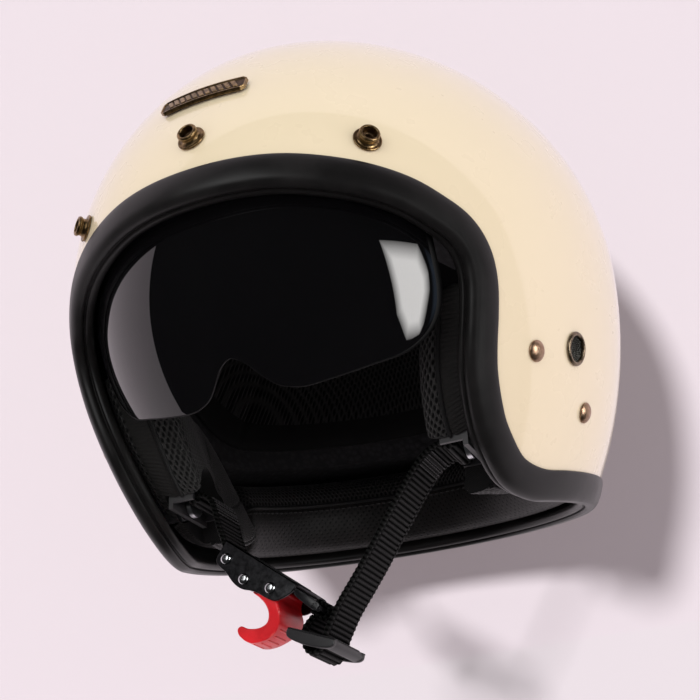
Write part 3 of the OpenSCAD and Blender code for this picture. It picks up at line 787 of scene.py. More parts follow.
MATERIALS["red"] = plastic("red_lever_plastic", (0.62, 0.008, 0.014), rough=0.3, grain=700,
                           depth=0.00002, wear=(0.75, 0.12, 0.1))
MATERIALS["nylon"] = plastic("white_nylon", (0.6, 0.6, 0.57), rough=0.35, grain=700,
                             depth=0.00003, wear=(0.7, 0.7, 0.68))
MATERIALS["lens"] = smoke_lens()
MATERIALS["lens_edge"] = lens_edge()


# ------------------------------------------------------------------ shell
def finish_shell(ob):
    """Cuts the vent holes and sets exact normals on the outer and inner faces."""
    cutter = Piece()
    for side in (1, -1):
        hole = lathe([(5.62, -9), (5.62, 5)], around=48)
        cutter.solid(placed(hole, fitting_frame(side_point(*VENT), side)))
    mesh = subtract(ob, cutter)
    smooth(mesh)
    points = np.zeros(len(mesh.vertices) * 3)
    mesh.vertices.foreach_get("co", points)
    points = points.reshape(-1, 3) / MM
    levels = level(points)[:, None]
    exact = normal_at(points)
    rest = np.array([v.normal for v in mesh.vertices])
    normals = np.where(np.abs(levels - 1) < 0.003, exact, np.where(levels < 0.955, -exact, rest))
    mesh.normals_split_custom_set_from_vertices(normals.tolist())


def build_shell():
    rim = unit(azimuth_point(*rim_loop(EDGE, 8).T) - CENTRE)
    cols, bands = len(rim), 60
    # an extra row close to the rim
    steps = np.concatenate([[0, 0.004], np.arange(1, bands) / bands])
    rows = len(steps)
    rays = np.stack([slerp(rim, POLE, t) for t in steps])
    layers = []
    for lift in (0.0, -SHELL_THICK):
        layers += [on_shell(rays, lift).reshape(-1, 3), on_shell(POLE[None], lift)]
    pole = rows * cols
    faces = grid_faces(rows, cols)
    faces += [(pole - cols + i, pole - cols + (i + 1) % cols, pole) for i in range(cols)]
    one_side = len(faces)
    inner = pole + 1
    faces += [tuple(i + inner for i in face[::-1]) for face in faces]
    faces += [(i, inner + i, inner + (i + 1) % cols, (i + 1) % cols) for i in range(cols)]
    slots = [0] * one_side + [1] * (one_side + cols)
    Piece().add(np.concatenate(layers), faces, slots).build(
        "outer_shell_paint", ["paint", "black"], "shell_paint", "outer_shell",
        finish=finish_shell)


# Edge trim section: distance in from the rim, lift
TRIM = [
    (10.6, 0.12), (10.62, 0.5), (10.35, 0.95), (9.5, 1.35), (8, 1.74), (6, 2.06), (4, 2.26),
    (2, 2.32), (0.3, 2.2), (-1.0, 1.78), (-2.0, 1.05), (-2.62, 0.15), (-2.9, -0.9),
    (-2.86, -1.7), (-2.6, -2.2), (-2.1, -2.45), (-1.85, -2.75), (-1.95, -3.05), (-2.45, -3.2),
    (-2.95, -3.5), (-3.2, -4.1), (-3.25, -4.9), (-3.05, -5.7), (-2.55, -6.4), (-1.7, -6.85),
    (-0.3, -6.95), (1.2, -6.6), (4, -6.3), (8, -6.0), (8.2, -5.3), (8, -4.62)]
TRIM_SLOT = [(-0.38, -4.6), (-0.38, 0.12)]  # where the shell's edge sits
# Joint clip section: z, lift
CLIP = [(2.7, 2.6), (3.0, 4.1), (6, 4.45), (9.2, 4.45), (12.6, 3.7), (13.4, 2.9), (12, 2.58),
        (7, 2.55)]


def build_trim():
    edge = azimuth_point(*rim_loop(EDGE, 8).T)
    inwards = unit(np.cross(normal_at(edge), tangents(edge, closed=True)))
    section = np.concatenate([spline_line(TRIM, 3), arr(TRIM_SLOT)])
    rays = edge[:, None] + section[None, :, :1] * inwards[:, None] - CENTRE
    grid = on_shell(rays, section[None, :, 1])
    grid[..., 2] = np.maximum(grid[..., 2], 0.0)
    Piece().ring(grid).build(
        "edge_trim_rubber", ["rubber"], "trim_rubber", "edge_trim", sharp=50)


def build_trim_clip():
    """The small clip over the joint of the trim at the back."""
    full = spline_loop(CLIP, 4)
    rows = []
    for azimuth in np.linspace(172.6, 187.4, 40):
        off = azimuth - 180
        section = inset(full, 0.49 * max(0.0, (abs(off) - 6.6) / 0.8) ** 2)
        rib = 0.12 * math.cos(off * 2.1) if abs(off) < 6 else 0
        lift = section[:, 1] + rib * (section[:, 1] > 3.6)
        rows.append(azimuth_point(azimuth, section[:, 0], lift))
    Piece().solid(arr(rows)).build("trim_joint_clip_rubber", ["black"], "black_plastic",
                                   "trim_joint_clip", sharp=40)


# ------------------------------------------------------------------ sun visor
# The lens is part of a spheroid about the pivot axis, which runs along x.
PIVOT_Y, PIVOT_Z = -32.0, 100.0
LENS_HALF_WIDTH, LENS_RADIUS, LENS_THICK = 97.0, 108.0, 2.0
# Left half of the lens outline: x, z
LENS_HALF = arr([
    (0, 61.5), (5, 59), (9, 54.5), (13, 50.5), (18, 48.2), (25, 47.5), (38, 49.5), (48, 51.8),
    (56, 54), (62, 57.5), (67, 62.5), (70.5, 69), (72.3, 76), (73, 84), (73, 96), (73, 107),
    (72, 112), (66, 117.5), (50, 121.5), (25, 123.5), (0, 124)])
LENS_MIDDLE = arr([0, 88.0])
# Rounded edge of the lens: share of the way out to the outline, lift
LENS_RIM = [(0.985, 0), (0.993, -0.04), (0.9975, -0.25), (1.0, -0.7), (1.0, -1.3),
            (0.9975, -1.75), (0.993, -1.96), (0.985, -2.0)]
ARM_TILT = math.radians(8)
ARM_HALF, ARM_END = 7.5, 10.4  # half width of an arm, and radius of its round end
ARM_REACH = 71.3  # where an arm meets the lens, from the pivot


def lens_point(x, angle, lift):
    across = np.sqrt(np.maximum(0, 1 - (x / (LENS_HALF_WIDTH + lift)) ** 2))
    radius = (LENS_RADIUS + lift) * across
    return np.stack([x, PIVOT_Y - radius * np.cos(angle), PIVOT_Z + radius * np.sin(angle)], -1)


def visor_arm(side):
    part = (np.arange(47) / 46)[:, None]
    across = np.linspace(-ARM_HALF, ARM_HALF, 17)
    widening = ARM_END / ARM_HALF
    start = np.sqrt(ARM_REACH**2 - across**2)
    end = -np.sqrt(np.maximum(0, ARM_END**2 - (across * widening) ** 2))
    along = start + (end - start) * part
    # the arm widens over the last 12 mm before the pivot
    across = across * (1 + (widening - 1) * np.clip(1 - along / 12, 0, 1))
    forward = along * math.cos(ARM_TILT) - across * math.sin(ARM_TILT)
    height = along * math.sin(ARM_TILT) + across * math.cos(ARM_TILT)
    faces = []
    for lift in (0.0, -LENS_THICK):
        part = np.minimum((along**2 + across**2) / (LENS_RADIUS + lift) ** 2, 0.999)
        x = (LENS_HALF_WIDTH + lift) * np.sqrt(1 - part)
        faces.append(np.stack([side * x, PIVOT_Y - forward, PIVOT_Z + height], -1))
    return np.concatenate([faces[0], faces[1][:, ::-1]], 1)


def build_visor():
    outline = spline_loop(np.concatenate([LENS_HALF, LENS_HALF[-2:0:-1] * [-1, 1]]), 10)
    shares = np.linspace(0.06, 0.96, 24)
    profile = [(0.02, 0.0)] + [(s, 0.0) for s in shares] + LENS_RIM
    profile += [(s, -LENS_THICK) for s in shares[::-1]] + [(0.02, -LENS_THICK)]
    rows = []
    for part, lift in profile:
        x, z = (LENS_MIDDLE + (outline - LENS_MIDDLE) * part).T
        radius = LENS_RADIUS * np.sqrt(1 - (x / LENS_HALF_WIDTH) ** 2)
        rows.append(lens_point(x, np.arcsin(np.clip((z - PIVOT_Z) / radius, -1, 1)), lift))
    slots = np.zeros((len(profile) - 1, len(outline)))
    slots[25:32] = 1  # the ground edge
    piece = Piece().solid(arr(rows), slots=slots)
    for side in (1, -1):
        piece.solid(visor_arm(side))
    piece.build("sun_visor_lens", ["lens", "lens_edge"], "smoke_lens", "sun_visor",
                body="visor", sharp=60)


# ------------------------------------------------------------------ outside hardware
# Turned profiles: radius, height above the shell
STUD_RING = [
    (2.5, 0.14), (5.0, 0.12), (5.35, 0.2), (5.52, 0.48), (5.45, 0.8), (5.15, 0.98),
    (4.75, 0.98), (4.45, 0.9), (4.15, 1.02), (3.85, 1.3), (3.6, 1.75), (3.5, 2.3), (3.56, 2.75),
    (3.85, 3.05), (4.02, 3.45), (4.0, 3.95), (3.75, 4.35), (3.35, 4.5), (2.98, 4.38),
    (2.8, 4.05), (2.78, 3.4), (2.72, 2.4), (2.62, 1.7)]
STUD_FLOOR = [(0.02, 1.9), (0.5, 1.86), (1.0, 1.62), (1.7, 1.6), (2.0, 1.8), (2.75, 1.85),
              (2.78, 1.3)]
RIVET_TAIL = [(3.2, -8.2), (3.45, -7.9), (3.2, -7.5), (2.05, -7.4)]
RIVET_DOME = [(2.0, -7.3), (2.0, 0.14), (3.9, 0.12), (4.12, 0.22), (4.2, 0.5), (4.08, 0.82),
              (3.75, 1.15), (3.3, 1.5), (2.6, 1.9), (1.8, 2.16), (0.9, 2.3), (0.02, 2.33)]
EYELET = [(5.0, -5.5), (5.0, 0.1), (5.02, 0.7), (5.2, 1.12), (5.6, 1.36), (6.1, 1.32),
          (6.55, 1.05), (6.78, 0.65), (6.76, 0.32), (6.55, 0.18), (5.66, 0.2), (5.6, -0.4),
          (5.6, -5.5)]
SNAPS = [(0, 145), (61, 132), (-61, 132)]  # x, z
RIVETS = [(-69, 52.7), (-30.5, 32.4)]  # y, z on each side
WIRE_PITCH, WIRE_RADIUS = 0.78, 0.17


def build_snap_studs():
    rings, floors = Piece(), Piece()
    for place in SNAPS:
        at = fitting_frame(front_point(*place))
        rings.skin(placed(lathe(spline_line(STUD_RING, 3)), at))
        floor = lathe(spline_line(STUD_FLOOR, 3), around=48)
        floors.skin(placed(floor, at), caps=(True, False))
    rings.build("snap_stud_rings", ["bronze"], "antique_bronze", "snap_studs", sharp=50)
    floors.build("snap_stud_floors", ["bronze_dark"], "antique_bronze", "snap_posts", sharp=50)


def build_rivets():
    piece = Piece()
    profile = np.concatenate([arr(RIVET_TAIL), spline_line(RIVET_DOME, 3)])
    for side in (1, -1):
        for place in RIVETS:
            at = fitting_frame(side_point(*place), side)
            piece.solid(placed(lathe(profile, around=56), at))
    piece.build("strap_rivet_heads", ["copper"], "antique_bronze", "strap_rivets", sharp=45)


def build_vents():
    """Eyelet rings with a woven wire mesh and a fabric disc behind it."""
    rings, mesh = Piece(), Piece()
    for side in (1, -1):
        at = fitting_frame(side_point(*VENT), side)
        rings.ring(placed(lathe(spline_line(EYELET, 4), around=72), at))
        count = int(4.95 / WIRE_PITCH)
        for i in range(-count, count + 1):
            half = math.sqrt(max(0.1, 4.98**2 - (i * WIRE_PITCH) ** 2))
            along = np.linspace(-half, half, max(8, int(half * 14)))
            across = np.full_like(along, i * WIRE_PITCH)
            wave = 0.13 * np.cos(math.pi * (along / WIRE_PITCH + i))
            for x, y, sign in ((along, across, -1), (across, along, 1)):
                wire = np.stack([x, y, -0.15 + wave * sign], -1)
                mesh.solid(placed(tube(wire, WIRE_RADIUS, around=6), at))
        disc = lathe([(0.02, -2.6), (4.98, -2.6), (4.98, -3.2), (0.02, -3.2)], around=40)
        mesh.solid(placed(disc, at), slots=1)
    rings.build("vent_eyelet_rings", ["eyelet"], "antique_bronze", "vent_eyelets", sharp=50)
    mesh.build("vent_eyelet_mesh", ["wire", "lining"], "dark_mesh", "vent_meshes", sharp=50)


def smoothstep(value, lo, hi):
    t = np.clip((value - lo) / (hi - lo), 0, 1)
    return t**2 * (3 - 2 * t)


def grid_border(grid):
    return np.concatenate([grid[0], grid[1:, -1], grid[-1, ::-1][1:], grid[::-1, 0][1:-1]])


def build_badge():
    """A curved bar with clipped ends, a raised border and slanted blocks in a dark field."""
    half_length, half_height, middle_z = 18.2, 3.4, 166.9
    clip_from, clip_slope = 16.4, 0.68
    base = 0.95
    block_pitch, slant = 2.7, 0.6
    along = half_length * np.linspace(-1, 1, 360)
    clipped = half_height - (np.abs(along) - clip_from) * clip_slope
    half = np.where(np.abs(along) < clip_from, half_height, clipped)[:, None]
    x = np.repeat(along[:, None], 64, 1)
    z = half * np.linspace(-1, 1, 64)[None]
    edge = np.minimum(half_length - np.abs(x), half - np.abs(z))
    lift = 1.0 + 1.45 * smoothstep(edge, -0.02, 0.3) - 0.5 * smoothstep(edge, 0.62, 0.85)
    field = smoothstep(edge, 0.9, 1.05)
    blocks = np.zeros_like(x)
    for i in range(-5, 6):
        width = smoothstep(1.12 - np.abs(x + slant * z - block_pitch * i), 0, 0.28)
        blocks = np.maximum(blocks, width * smoothstep(1.95 - np.abs(z), 0, 0.3))
    top = front_point(x, middle_z + z, lift + 0.42 * field * blocks)
    bottom = front_point(x, middle_z + z, base)
    dark = (field[:-1, :-1] > 0.5) & (blocks[:-1, :-1] < 0.35)
    piece = Piece().skin(top, wrap_cols=False, slots=dark)
    piece.skin(np.stack([grid_border(top), grid_border(bottom)]), slots=2)
    piece.skin(bottom[::12, ::7], wrap_cols=False)
    piece.build("brow_badge_bar", ["bronze", "bronze_dark", "gilt"], "antique_bronze",
                "badge_plate", sharp=50, merge=0.002)


# ------------------------------------------------------------------ cheek pads
# Outline: azimuth, z
CHEEK = [
    (42.5, 77), (42.2, 66), (41.4, 54), (41.3, 44), (42.4, 33), (45, 23.5), (49.5, 14.5),
    (55, 9.5), (63, 7.5), (73, 7.5), (83, 8), (88, 12), (89.5, 28), (88.5, 46), (83, 62),
    (72, 70.5), (59, 77.5), (49, 81)]
CHEEK_MIDDLE = arr([65.5, 42.0])
CHEEK_BACK = 8.5  # depth of the pad's outer face below the shell
# Rows from the outer to the inner face: share of the way in to the middle, depth
CHEEK_ROWS = arr([
    (1.0, 8.5), (0.8, 8.5), (0.6, 8.5), (0.42, 8.5), (0.26, 8.5), (0.12, 8.5), (0.035, 8.7),
    (0.012, 10.5), (0.004, 13.5), (0.0, 17), (0.0, 21.5), (0.004, 25), (0.018, 28.5),
    (0.05, 31.6), (0.11, 34), (0.2, 35.3), (0.32, 35.8), (0.46, 36), (0.6, 36), (0.75, 36),
    (0.9, 36), (1.0, 36)])


def even_outline(outline, count):
    """An (azimuth, z) outline walked in equal steps over the shell, and its length."""
    dense = spline_loop(outline, 24)
    dense = np.concatenate([dense, dense[:1]])
    lengths = run_length(azimuth_point(*dense.T))
    return sample(np.linspace(0, lengths[-1], count, endpoint=False), lengths, dense), lengths[-1]


def carve_strap_way(ob, side):
    """Cuts the arched slot and the smaller round hole about the strap's pivot."""
    arch, hole = 14.4, 6.3
    front, back = STRAP_Y - arch, STRAP_Y + arch
    a = np.linspace(math.pi, 0, 24)
    slot = np.stack([STRAP_Y + arch * np.cos(a), STRAP_Z + arch * np.sin(a)], -1)
    slot = np.concatenate([slot, arr([(back, 10), (back, -14), (front, -14), (front, 10)])])
    a = np.linspace(0, 2 * math.pi, 36, endpoint=False)
    stud = np.stack([STRAP_Y + hole * np.cos(a), STRAP_Z + hole * np.sin(a)], -1)
    for x0, x1, outline in ((30.0, 67.0, slot), (66.0, 108.0, stud)):
        block = [np.column_stack([np.full(len(outline), side * x), outline]) for x in (x0, x1)]
        smooth(subtract(ob, Piece().solid(arr(block)), MATERIALS["lining"]), sharp=48)


def build_cheek(side):
    outline, length = even_outline(CHEEK, 66)
    flat = outline + (CHEEK_MIDDLE - outline) * CHEEK_ROWS[:, :1, None]
    base = azimuth_point(flat[..., 0], flat[..., 1])
    normals = normal_at(base)
    extra = CHEEK_ROWS[:, 1:] - CHEEK_BACK
    # the lower front of the pad hangs lower as it gets deeper
    low = np.clip((62 - base[..., 2]) / 30, 0, 1)
    low = low * (1 - 0.6 * np.clip((base[..., 1] + 40) / 40, 0, 1))
    inwards = unit(normals * 0.25 + arr([0.75, 0, 0]))
    firm = base - normals * CHEEK_BACK - inwards * extra[..., None]
    z = firm[..., 2]
    firm[..., 2] = np.maximum(z - 0.42 * extra * low * low * (3 - 2 * low), np.minimum(z, 7.5))
    pinned = np.zeros(firm.shape[:2])
    pinned[:8] = 1
    soft = pillow(firm, pinned, pressure=3.2, limit=4.2, frames=16)
    # rows that carry a sewn seam are drawn back in
    for row, keep in ((10, 0.9), (14, 0.8)):
        soft[row] = firm[row] * keep + soft[row] * (1 - keep)

    per_row, per_col = 5, 13
    grid = upsample(soft, per_row, per_col)
    azimuth, height = np.moveaxis(upsample(flat, per_row, per_col), -1, 0)
    normals = outward_normals(grid, grid.reshape(-1, 3).mean(0))
    rows, cols = grid.shape[:2]
    row = np.arange(rows) / per_row
    around = np.arange(cols) / cols * length
    wall = np.clip((row - 7.2) / 0.5, 0, 1) * np.clip((9.75 - row) / 0.3, 0, 1)
    rib = (0.5 + 0.5 * np.cos(2 * np.pi * around / 1.75)) ** 0.8
    seam = bump_at(row, 10, 0.2) + 0.8 * bump_at(row, 14, 0.18)
    # one more seam crosses the lower part of the inner face
    quilt = bump_at(height, 26 + 0.12 * (azimuth - 42), 0.55) * (row[:, None] > 14.4)
    relief = 0.42 * wall[:, None] * rib[None] - 0.9 * seam[:, None] - 0.8 * quilt
    grid = grid + normals * relief[..., None]
    slots = np.full((rows - 1, cols), 3)
    slots[(row[:-1] >= 7.2) & (row[:-1] < 9.9)] = 1
    slots[(row[:-1] >= 10.2) & (row[:-1] < 13.95)] = 2
    uv = np.stack(np.broadcast_arrays(run_length(grid[:, 0])[:, None], around[None]), -1)

    name = "left" if side > 0 else "right"
    mirror = arr([side, 1, 1])

    def finish(ob):
        carve_strap_way(ob, side)

    Piece().skin(grid * mirror, slots=slots, uv=uv).build(
        "cheek_pad_cushion_" + name, ["lining", "gusset", "air_mesh", "lining"],
        "lining_fabric", "cheek_pad_" + name, merge=0.01, finish=finish)
    edge = 10 * per_row
    path = ((grid[edge] + normals[edge] * 0.75) * mirror)[::3]
    Piece().ring(tube(path, 0.95, around=12, closed=True)).build(
        "cheek_pad_piping_" + name, ["piping"], "lining_fabric", finish=finish)


# ------------------------------------------------------------------ neck roll
# Section: z, lift
NECK = arr([
    (2.2, -8.5), (1.0, -11.2), (1.4, -15.5), (4.2, -21), (9.2, -26.2), (15.0, -29.6),
    (20.5, -30.6), (26, -29.6), (31, -26.2), (34.6, -20.5), (35.4, -14), (33.5, -9),
    (27, -7.6), (20, -7.5), (12.5, -7.5), (6, -7.7)])
NECK_MIDDLE = arr([19.0, -17.0])


def stitches(path, lift):
    """Small thread stitches along a path, standing proud along lift."""
    step, length, radius = 3.0, 2.0, 0.26
    piece = Piece()
    lengths = run_length(path)
    for i in range(int(lengths[-1] / step)):
        at = np.linspace(i * step + 0.3, i * step + 0.3 + length, 6)
        if at[-1] > lengths[-1]:
            break
        rise = (np.sin(np.linspace(0, np.pi, 6)) * 0.28 - 0.1)[:, None]
        thread = sample(at, lengths, path) + sample(at, lengths, lift) * rise
        piece.solid(tube(thread, radius, around=6, taper=arr([0.45, 0.9, 1, 1, 0.9, 0.45])))
    return piece


def build_neck_roll():
    # columns run round the section, rows round the helmet; both ends draw to a point
    middle = np.arange(99.5, 262, 2.6)
    azimuth = np.concatenate([[95.2, 95.3, 95.8, 97.0], middle, [263.0, 264.2, 264.7, 264.8]])
    taper = [0.0, 0.45, 0.78, 0.95]
    scale = np.concatenate([taper, np.ones_like(middle), taper[::-1]])
    sections = NECK_MIDDLE + (NECK - NECK_MIDDLE) * scale[:, None, None]
    firm = azimuth_point(azimuth[:, None], sections[..., 0], sections[..., 1])
    pinned = np.zeros(firm.shape[:2])
    pinned[:, [0, 12, 13, 14, 15]] = 1
    pinned[:2] = 1
    pinned[-2:] = 1
    soft = pillow(firm, pinned, pressure=3.0, limit=3.0, frames=14)
    # the column with the piped seam is drawn back in
    soft[:, 5] = firm[:, 5] * 0.9 + soft[:, 5] * (1 - 0.9)
    soft[..., 2] = np.maximum(soft[..., 2], 0.6)

    per_row, per_col = 5, 12
    grid = upsample(soft, per_row, per_col)
    normals = outward_normals(grid, grid.mean(1, keepdims=True))
    rows, cols = grid.shape[:2]
    col = np.arange(cols) / per_col
    seam = bump_at(col, 5.0, 0.16) + 0.8 * bump_at(col, 10.0, 0.14)
    pucker = 0.16 * bump_at(col, 5.0, 0.8) * np.sin(np.arange(rows)[:, None] * 0.83) ** 2
    grid = grid - normals * (0.9 * seam[None] + pucker)[..., None]
    run, section = run_length(grid[:, 0]), run_length(grid[rows // 2])
    uv = np.stack(np.broadcast_arrays(run[:, None], section[None]), -1)
    slots = np.zeros((rows - 1, cols), int)
    slots[:, (col < 4.95) | (col > 14.5)] = 1
    slots[:, (col >= 10.0) & (col <= 14.5)] = 2
    Piece().skin(grid, slots=slots, uv=uv).build(
        "neck_roll_cushion", ["air_mesh", "perforated", "lining"], "perforated_leatherette",
        "neck_roll", merge=0.01)
    edge = 5 * per_col
    path = grid[4:-4, edge] + normals[4:-4, edge] * 0.9
    Piece().solid(tube(path[::2], 1.0, around=12)).build(
        "neck_roll_piping", ["piping"], "lining_fabric")
    row = int(4.6 * per_col)
    lift = normals[8:-8, row]
    stitches(grid[8:-8, row] + lift * 0.12, lift).build(
        "neck_roll_stitching", ["thread"], "lining_fabric")


# ------------------------------------------------------------------ crown and brow pads
# Left half of the crown pad's rim: azimuth, z
CROWN = [(0, 152), (14, 151.5), (28, 149), (40, 143), (50, 130), (56, 112), (62, 98), (72, 88),
         (84, 79), (94, 65), (104, 56), (118, 54), (136, 54), (158, 54), (180, 54)]


def build_crown():
    rim = unit(azimuth_point(*rim_loop(CROWN, 2).T) - CENTRE)
    count = len(rim)
    steps = np.linspace(0, 1, 17)
    inner = arr([on_shell(slerp(rim, POLE, t), -32.5 if t > 0 else -31.0) for t in steps])
    outer = arr([on_shell(slerp(rim, POLE, t), -27.8) for t in steps[::3]])
    firm = np.concatenate([outer[::-1], inner])
    first = len(outer)  # first row of the inner face
    ring = first + 8  # row of the round seam
    ribs = np.arange(0, count, count // 6)  # columns of the seams between rim and ring
    pinned = np.zeros(firm.shape[:2])
    pinned[: first + 1] = 1
    pinned[ring] = 1
    pinned[first:ring, ribs] = 1
    soft = pillow(firm, pinned, pressure=2.6, limit=4.5, frames=14)

    per_row, per_col = 3, 5
    grid = upsample(soft, per_row, per_col)
    normals = grid_normals(grid)
    face = slice(first * per_row, None)
    if np.sum((grid[face] - (CENTRE + arr([0, 0, -10]))) * normals[face]) > 0:
        normals = -normals
    rows, cols = grid.shape[:2]
    row, col = np.arange(rows) / per_row, np.arange(cols) / per_col
    seam = bump_at(row, ring, 0.22)[:, None] * np.ones(cols)[None]
    off = (col[:, None] - ribs[None] + count / 2) % count - count / 2
    rib = bump_at(np.min(np.abs(off), 1), 0, 0.16)
    seam = np.maximum(seam, rib[None] * ((row > first) & (row < ring))[:, None])
    seam = seam + 0.7 * bump_at(row, first + 1.2, 0.25)[:, None]
    grid = grid - normals * (0.9 * seam * (row > first)[:, None])[..., None]
    # the fabric repeats in flat mm round the pole
    rays = unit(grid - CENTRE)
    across = unit(np.cross(POLE, [1.0, 0, 0]))
    uv = np.stack([rays[..., 0] * 100, rays @ across * 100], -1)
    slots = np.zeros((rows - 1, cols), int)
    slots[(row[:-1] > first + 1.2) & (row[:-1] <= ring)] = 1
    Piece().skin(grid, slots=slots, uv=uv).build(
        "crown_lining_pad", ["lining", "air_mesh"], "lining_fabric", "crown_pad", merge=0.01)


def build_brow():
    azimuths = [-44, -43.8, -42.8, *np.arange(-40, 41, 4.0), 42.8, 43.8, 44]
    scales = [0, 0.55, 0.85, *np.ones(21), 0.85, 0.55, 0]
    rows = []
    for azimuth, scale in zip(azimuths, scales):
        droop = (abs(azimuth) / 44) ** 2
        z0, z1 = 124.5 - 9 * droop, 147 - 13 * droop
        middle = (z0 + z1) / 2
        section = arr([
            (z0 + 0.3, -28.6), (z0 - 1.0, -31), (z0 + 0.3, -33.2), (z0 + 4, -34.2),
            (middle, -34.4), (z1 - 4, -33.8), (z1 - 1, -32.3), (z1 - 0.6, -30), (z1 - 2, -28.4),
            (middle + 4, -28.1), (middle - 4, -28.1), (z0 + 3, -28.2)])
        centre = arr([middle, -31])
        section = centre + (section - centre) * scale
        rows.append(azimuth_point(azimuth, section[:, 0], section[:, 1]))
    firm = arr(rows)
    pinned = np.zeros(firm.shape[:2])
    pinned[:, [0, 8, 9, 10, 11]] = 1
    pinned[:2] = 1
    pinned[-2:] = 1
    soft = pillow(firm, pinned, pressure=3, limit=2.0, frames=12)
    Piece().skin(upsample(soft, 5, 6)).build(
        "brow_pad_cushion", ["lining"], "lining_fabric", "brow_pad", merge=0.01)


# ------------------------------------------------------------------ chin strap
# Strap axes: x to the wearer's left, y along the hanging strap, z across the band.
STRAP_TURN = -(math.pi / 2 + math.radians(14.6))
BUCKLE_TURN, BUCKLE_AT = math.radians(37), (-38.9, 30.5)
SLIDE_TURN, SLIDE_AT = math.radians(21), (-3.1, 67.6)
WEB_HALF, RIB_PITCH = 10.9, 2.0
ANCHOR_X = 56  # the bars the strap ends loop round
# Buckle places: x, y in the buckle's own axes
WEB_PIN, PAWL_PIN, LEVER_PIN, TONGUE_BAR = (0, 0), (12, 3), (24.5, 0.5), (45.6, -2.6)


def turned(points, angle, at):
    """Turns points about z and moves them; a third coordinate is kept."""
    points = arr(points)
    x, y = points[..., 0], points[..., 1]
    c, s = math.cos(angle), math.sin(angle)
    rest = list(np.moveaxis(points[..., 2:], -1, 0))
    return np.stack([at[0] + x * c - y * s, at[1] + x * s + y * c] + rest, -1)


def strap_place(points):
    x, y, z = np.moveaxis(arr(points), -1, 0)
    c, s = math.cos(STRAP_TURN), math.sin(STRAP_TURN)
    return np.stack([x, y * c - z * s + STRAP_Y, y * s + z * c + STRAP_Z], -1)


def on_buckle(x, y):
    return turned((x, y), BUCKLE_TURN, BUCKLE_AT)


def buckle_place(points):
    return strap_place(turned(points, BUCKLE_TURN, BUCKLE_AT))


def slide_place(points):
    return strap_place(turned(points, SLIDE_TURN, SLIDE_AT))


def flat_place(points):
    """Buckle axes with y and z swapped, for plates lying along the band."""
    return buckle_place(points[..., [0, 2, 1]])


def buckle_lathe(profile, around, at):
    return buckle_place(lathe(profile, around) + arr([*at, 0]))


# Centre lines of the two bands: x, y in strap axes
LEFT_BAND = [
    (53.4, 0), (50, 0.8), (45.5, 3.4), (41.3, 8), (37, 13.6), (32.5, 20), (27.8, 26.8),
    (20.4, 37.8), (14.4, 46), (7.7, 54.9), (4, 61.2), (1.6, 66), (0.6, 69.3), (-1.6, 71.9),
    (-4.8, 72.2), (-6.9, 69.9), (-7.3, 66.4), (-7, 62.5), on_buckle(45.4, 0.6)]
RIGHT_BAND = [(-53.4, 0), (-50.5, 0.9), (-48, 3.4), (-46.2, 8), (-44.4, 15), (-42, 22),
              on_buckle(-2.4, -0.8)]


def even_path(path, step):
    dense = spline_line(path, 12)
    lengths = run_length(dense)
    at = np.linspace(0, lengths[-1], int(lengths[-1] / step) + 1)
    return sample(at, lengths, dense), at


def band(path, normals, along, z, half_thick):
    """The placed grid and flat coordinates of a band with two faces."""
    depth = np.broadcast_to(z[None, :, None], (len(path), len(z), 1))
    top, bottom = (
        np.concatenate([path[:, None] + sign * normals[:, None] * half_thick[..., None], depth], -1)
        for sign in (1, -1))
    grid = strap_place(np.concatenate([top, bottom[:, ::-1]], 1))
    across = np.concatenate([z, z[::-1]])
    return grid, np.stack(np.broadcast_arrays(along[:, None], across[None]), -1)


def add_webbing(piece, path):
    """A woven band with ribs across it and bound edges."""
    thick, selvage = 1.95, 2.1
    path, along = even_path(path, 0.19)
    z = np.linspace(-1, 1, 30)
    z = WEB_HALF * np.sign(z) * np.abs(z) ** 0.92
    edge = np.clip((WEB_HALF - np.abs(z)) / 1.1, 0, 1)
    in_selvage = (np.abs(z) > WEB_HALF - selvage).astype(float)
    rib = 0.5 + 0.5 * np.cos(2 * np.pi * along[:, None] / RIB_PITCH + (np.pi * in_selvage)[None])
    half = thick / 2 * np.sqrt(np.clip(edge, 0.05, 1))[None]
    half = half - 0.6 * (1 - rib**0.7) * (0.25 + 0.75 * edge)[None]
    half = half - 0.16 * bump_at(np.abs(z), WEB_HALF - selvage, 0.28)[None]
    grid, uv = band(path, left_of(tangents(path)), along, z, half)
    piece.solid(grid, uv=uv)


def add_loop(piece, start, end, radius):
    """A closed webbing loop round a bar, stretched from start to end."""
    thick = 1.7
    start, end = arr(start), arr(end)
    a = np.linspace(0, 2 * np.pi, 28, endpoint=False)
    long = unit(end - start) if np.linalg.norm(end - start) > 1e-6 else arr([1.0, 0])
    circle = np.stack([np.cos(a), np.sin(a)], -1) * radius
    path = np.where((circle @ long > 0)[:, None], end + circle, start + circle)
    path, along = even_path(np.concatenate([path, path[:1]]), 0.2)
    path, along = path[:-1], along[:-1]
    z = np.linspace(-WEB_HALF, WEB_HALF, 24)
    edge = np.sqrt(np.clip(WEB_HALF - np.abs(z), 0.05, 1))
    pitch = along[-1] / max(1, round(along[-1] / RIB_PITCH))
    rib = 0.5 + 0.5 * np.cos(2 * np.pi * along / pitch)
    half = thick / 2 * edge[None] - 0.42 * (1 - rib[:, None] ** 0.6)
    grid, uv = band(path, left_of(tangents(path, closed=True)), along, z, half)
    piece.ring(grid, uv=uv)


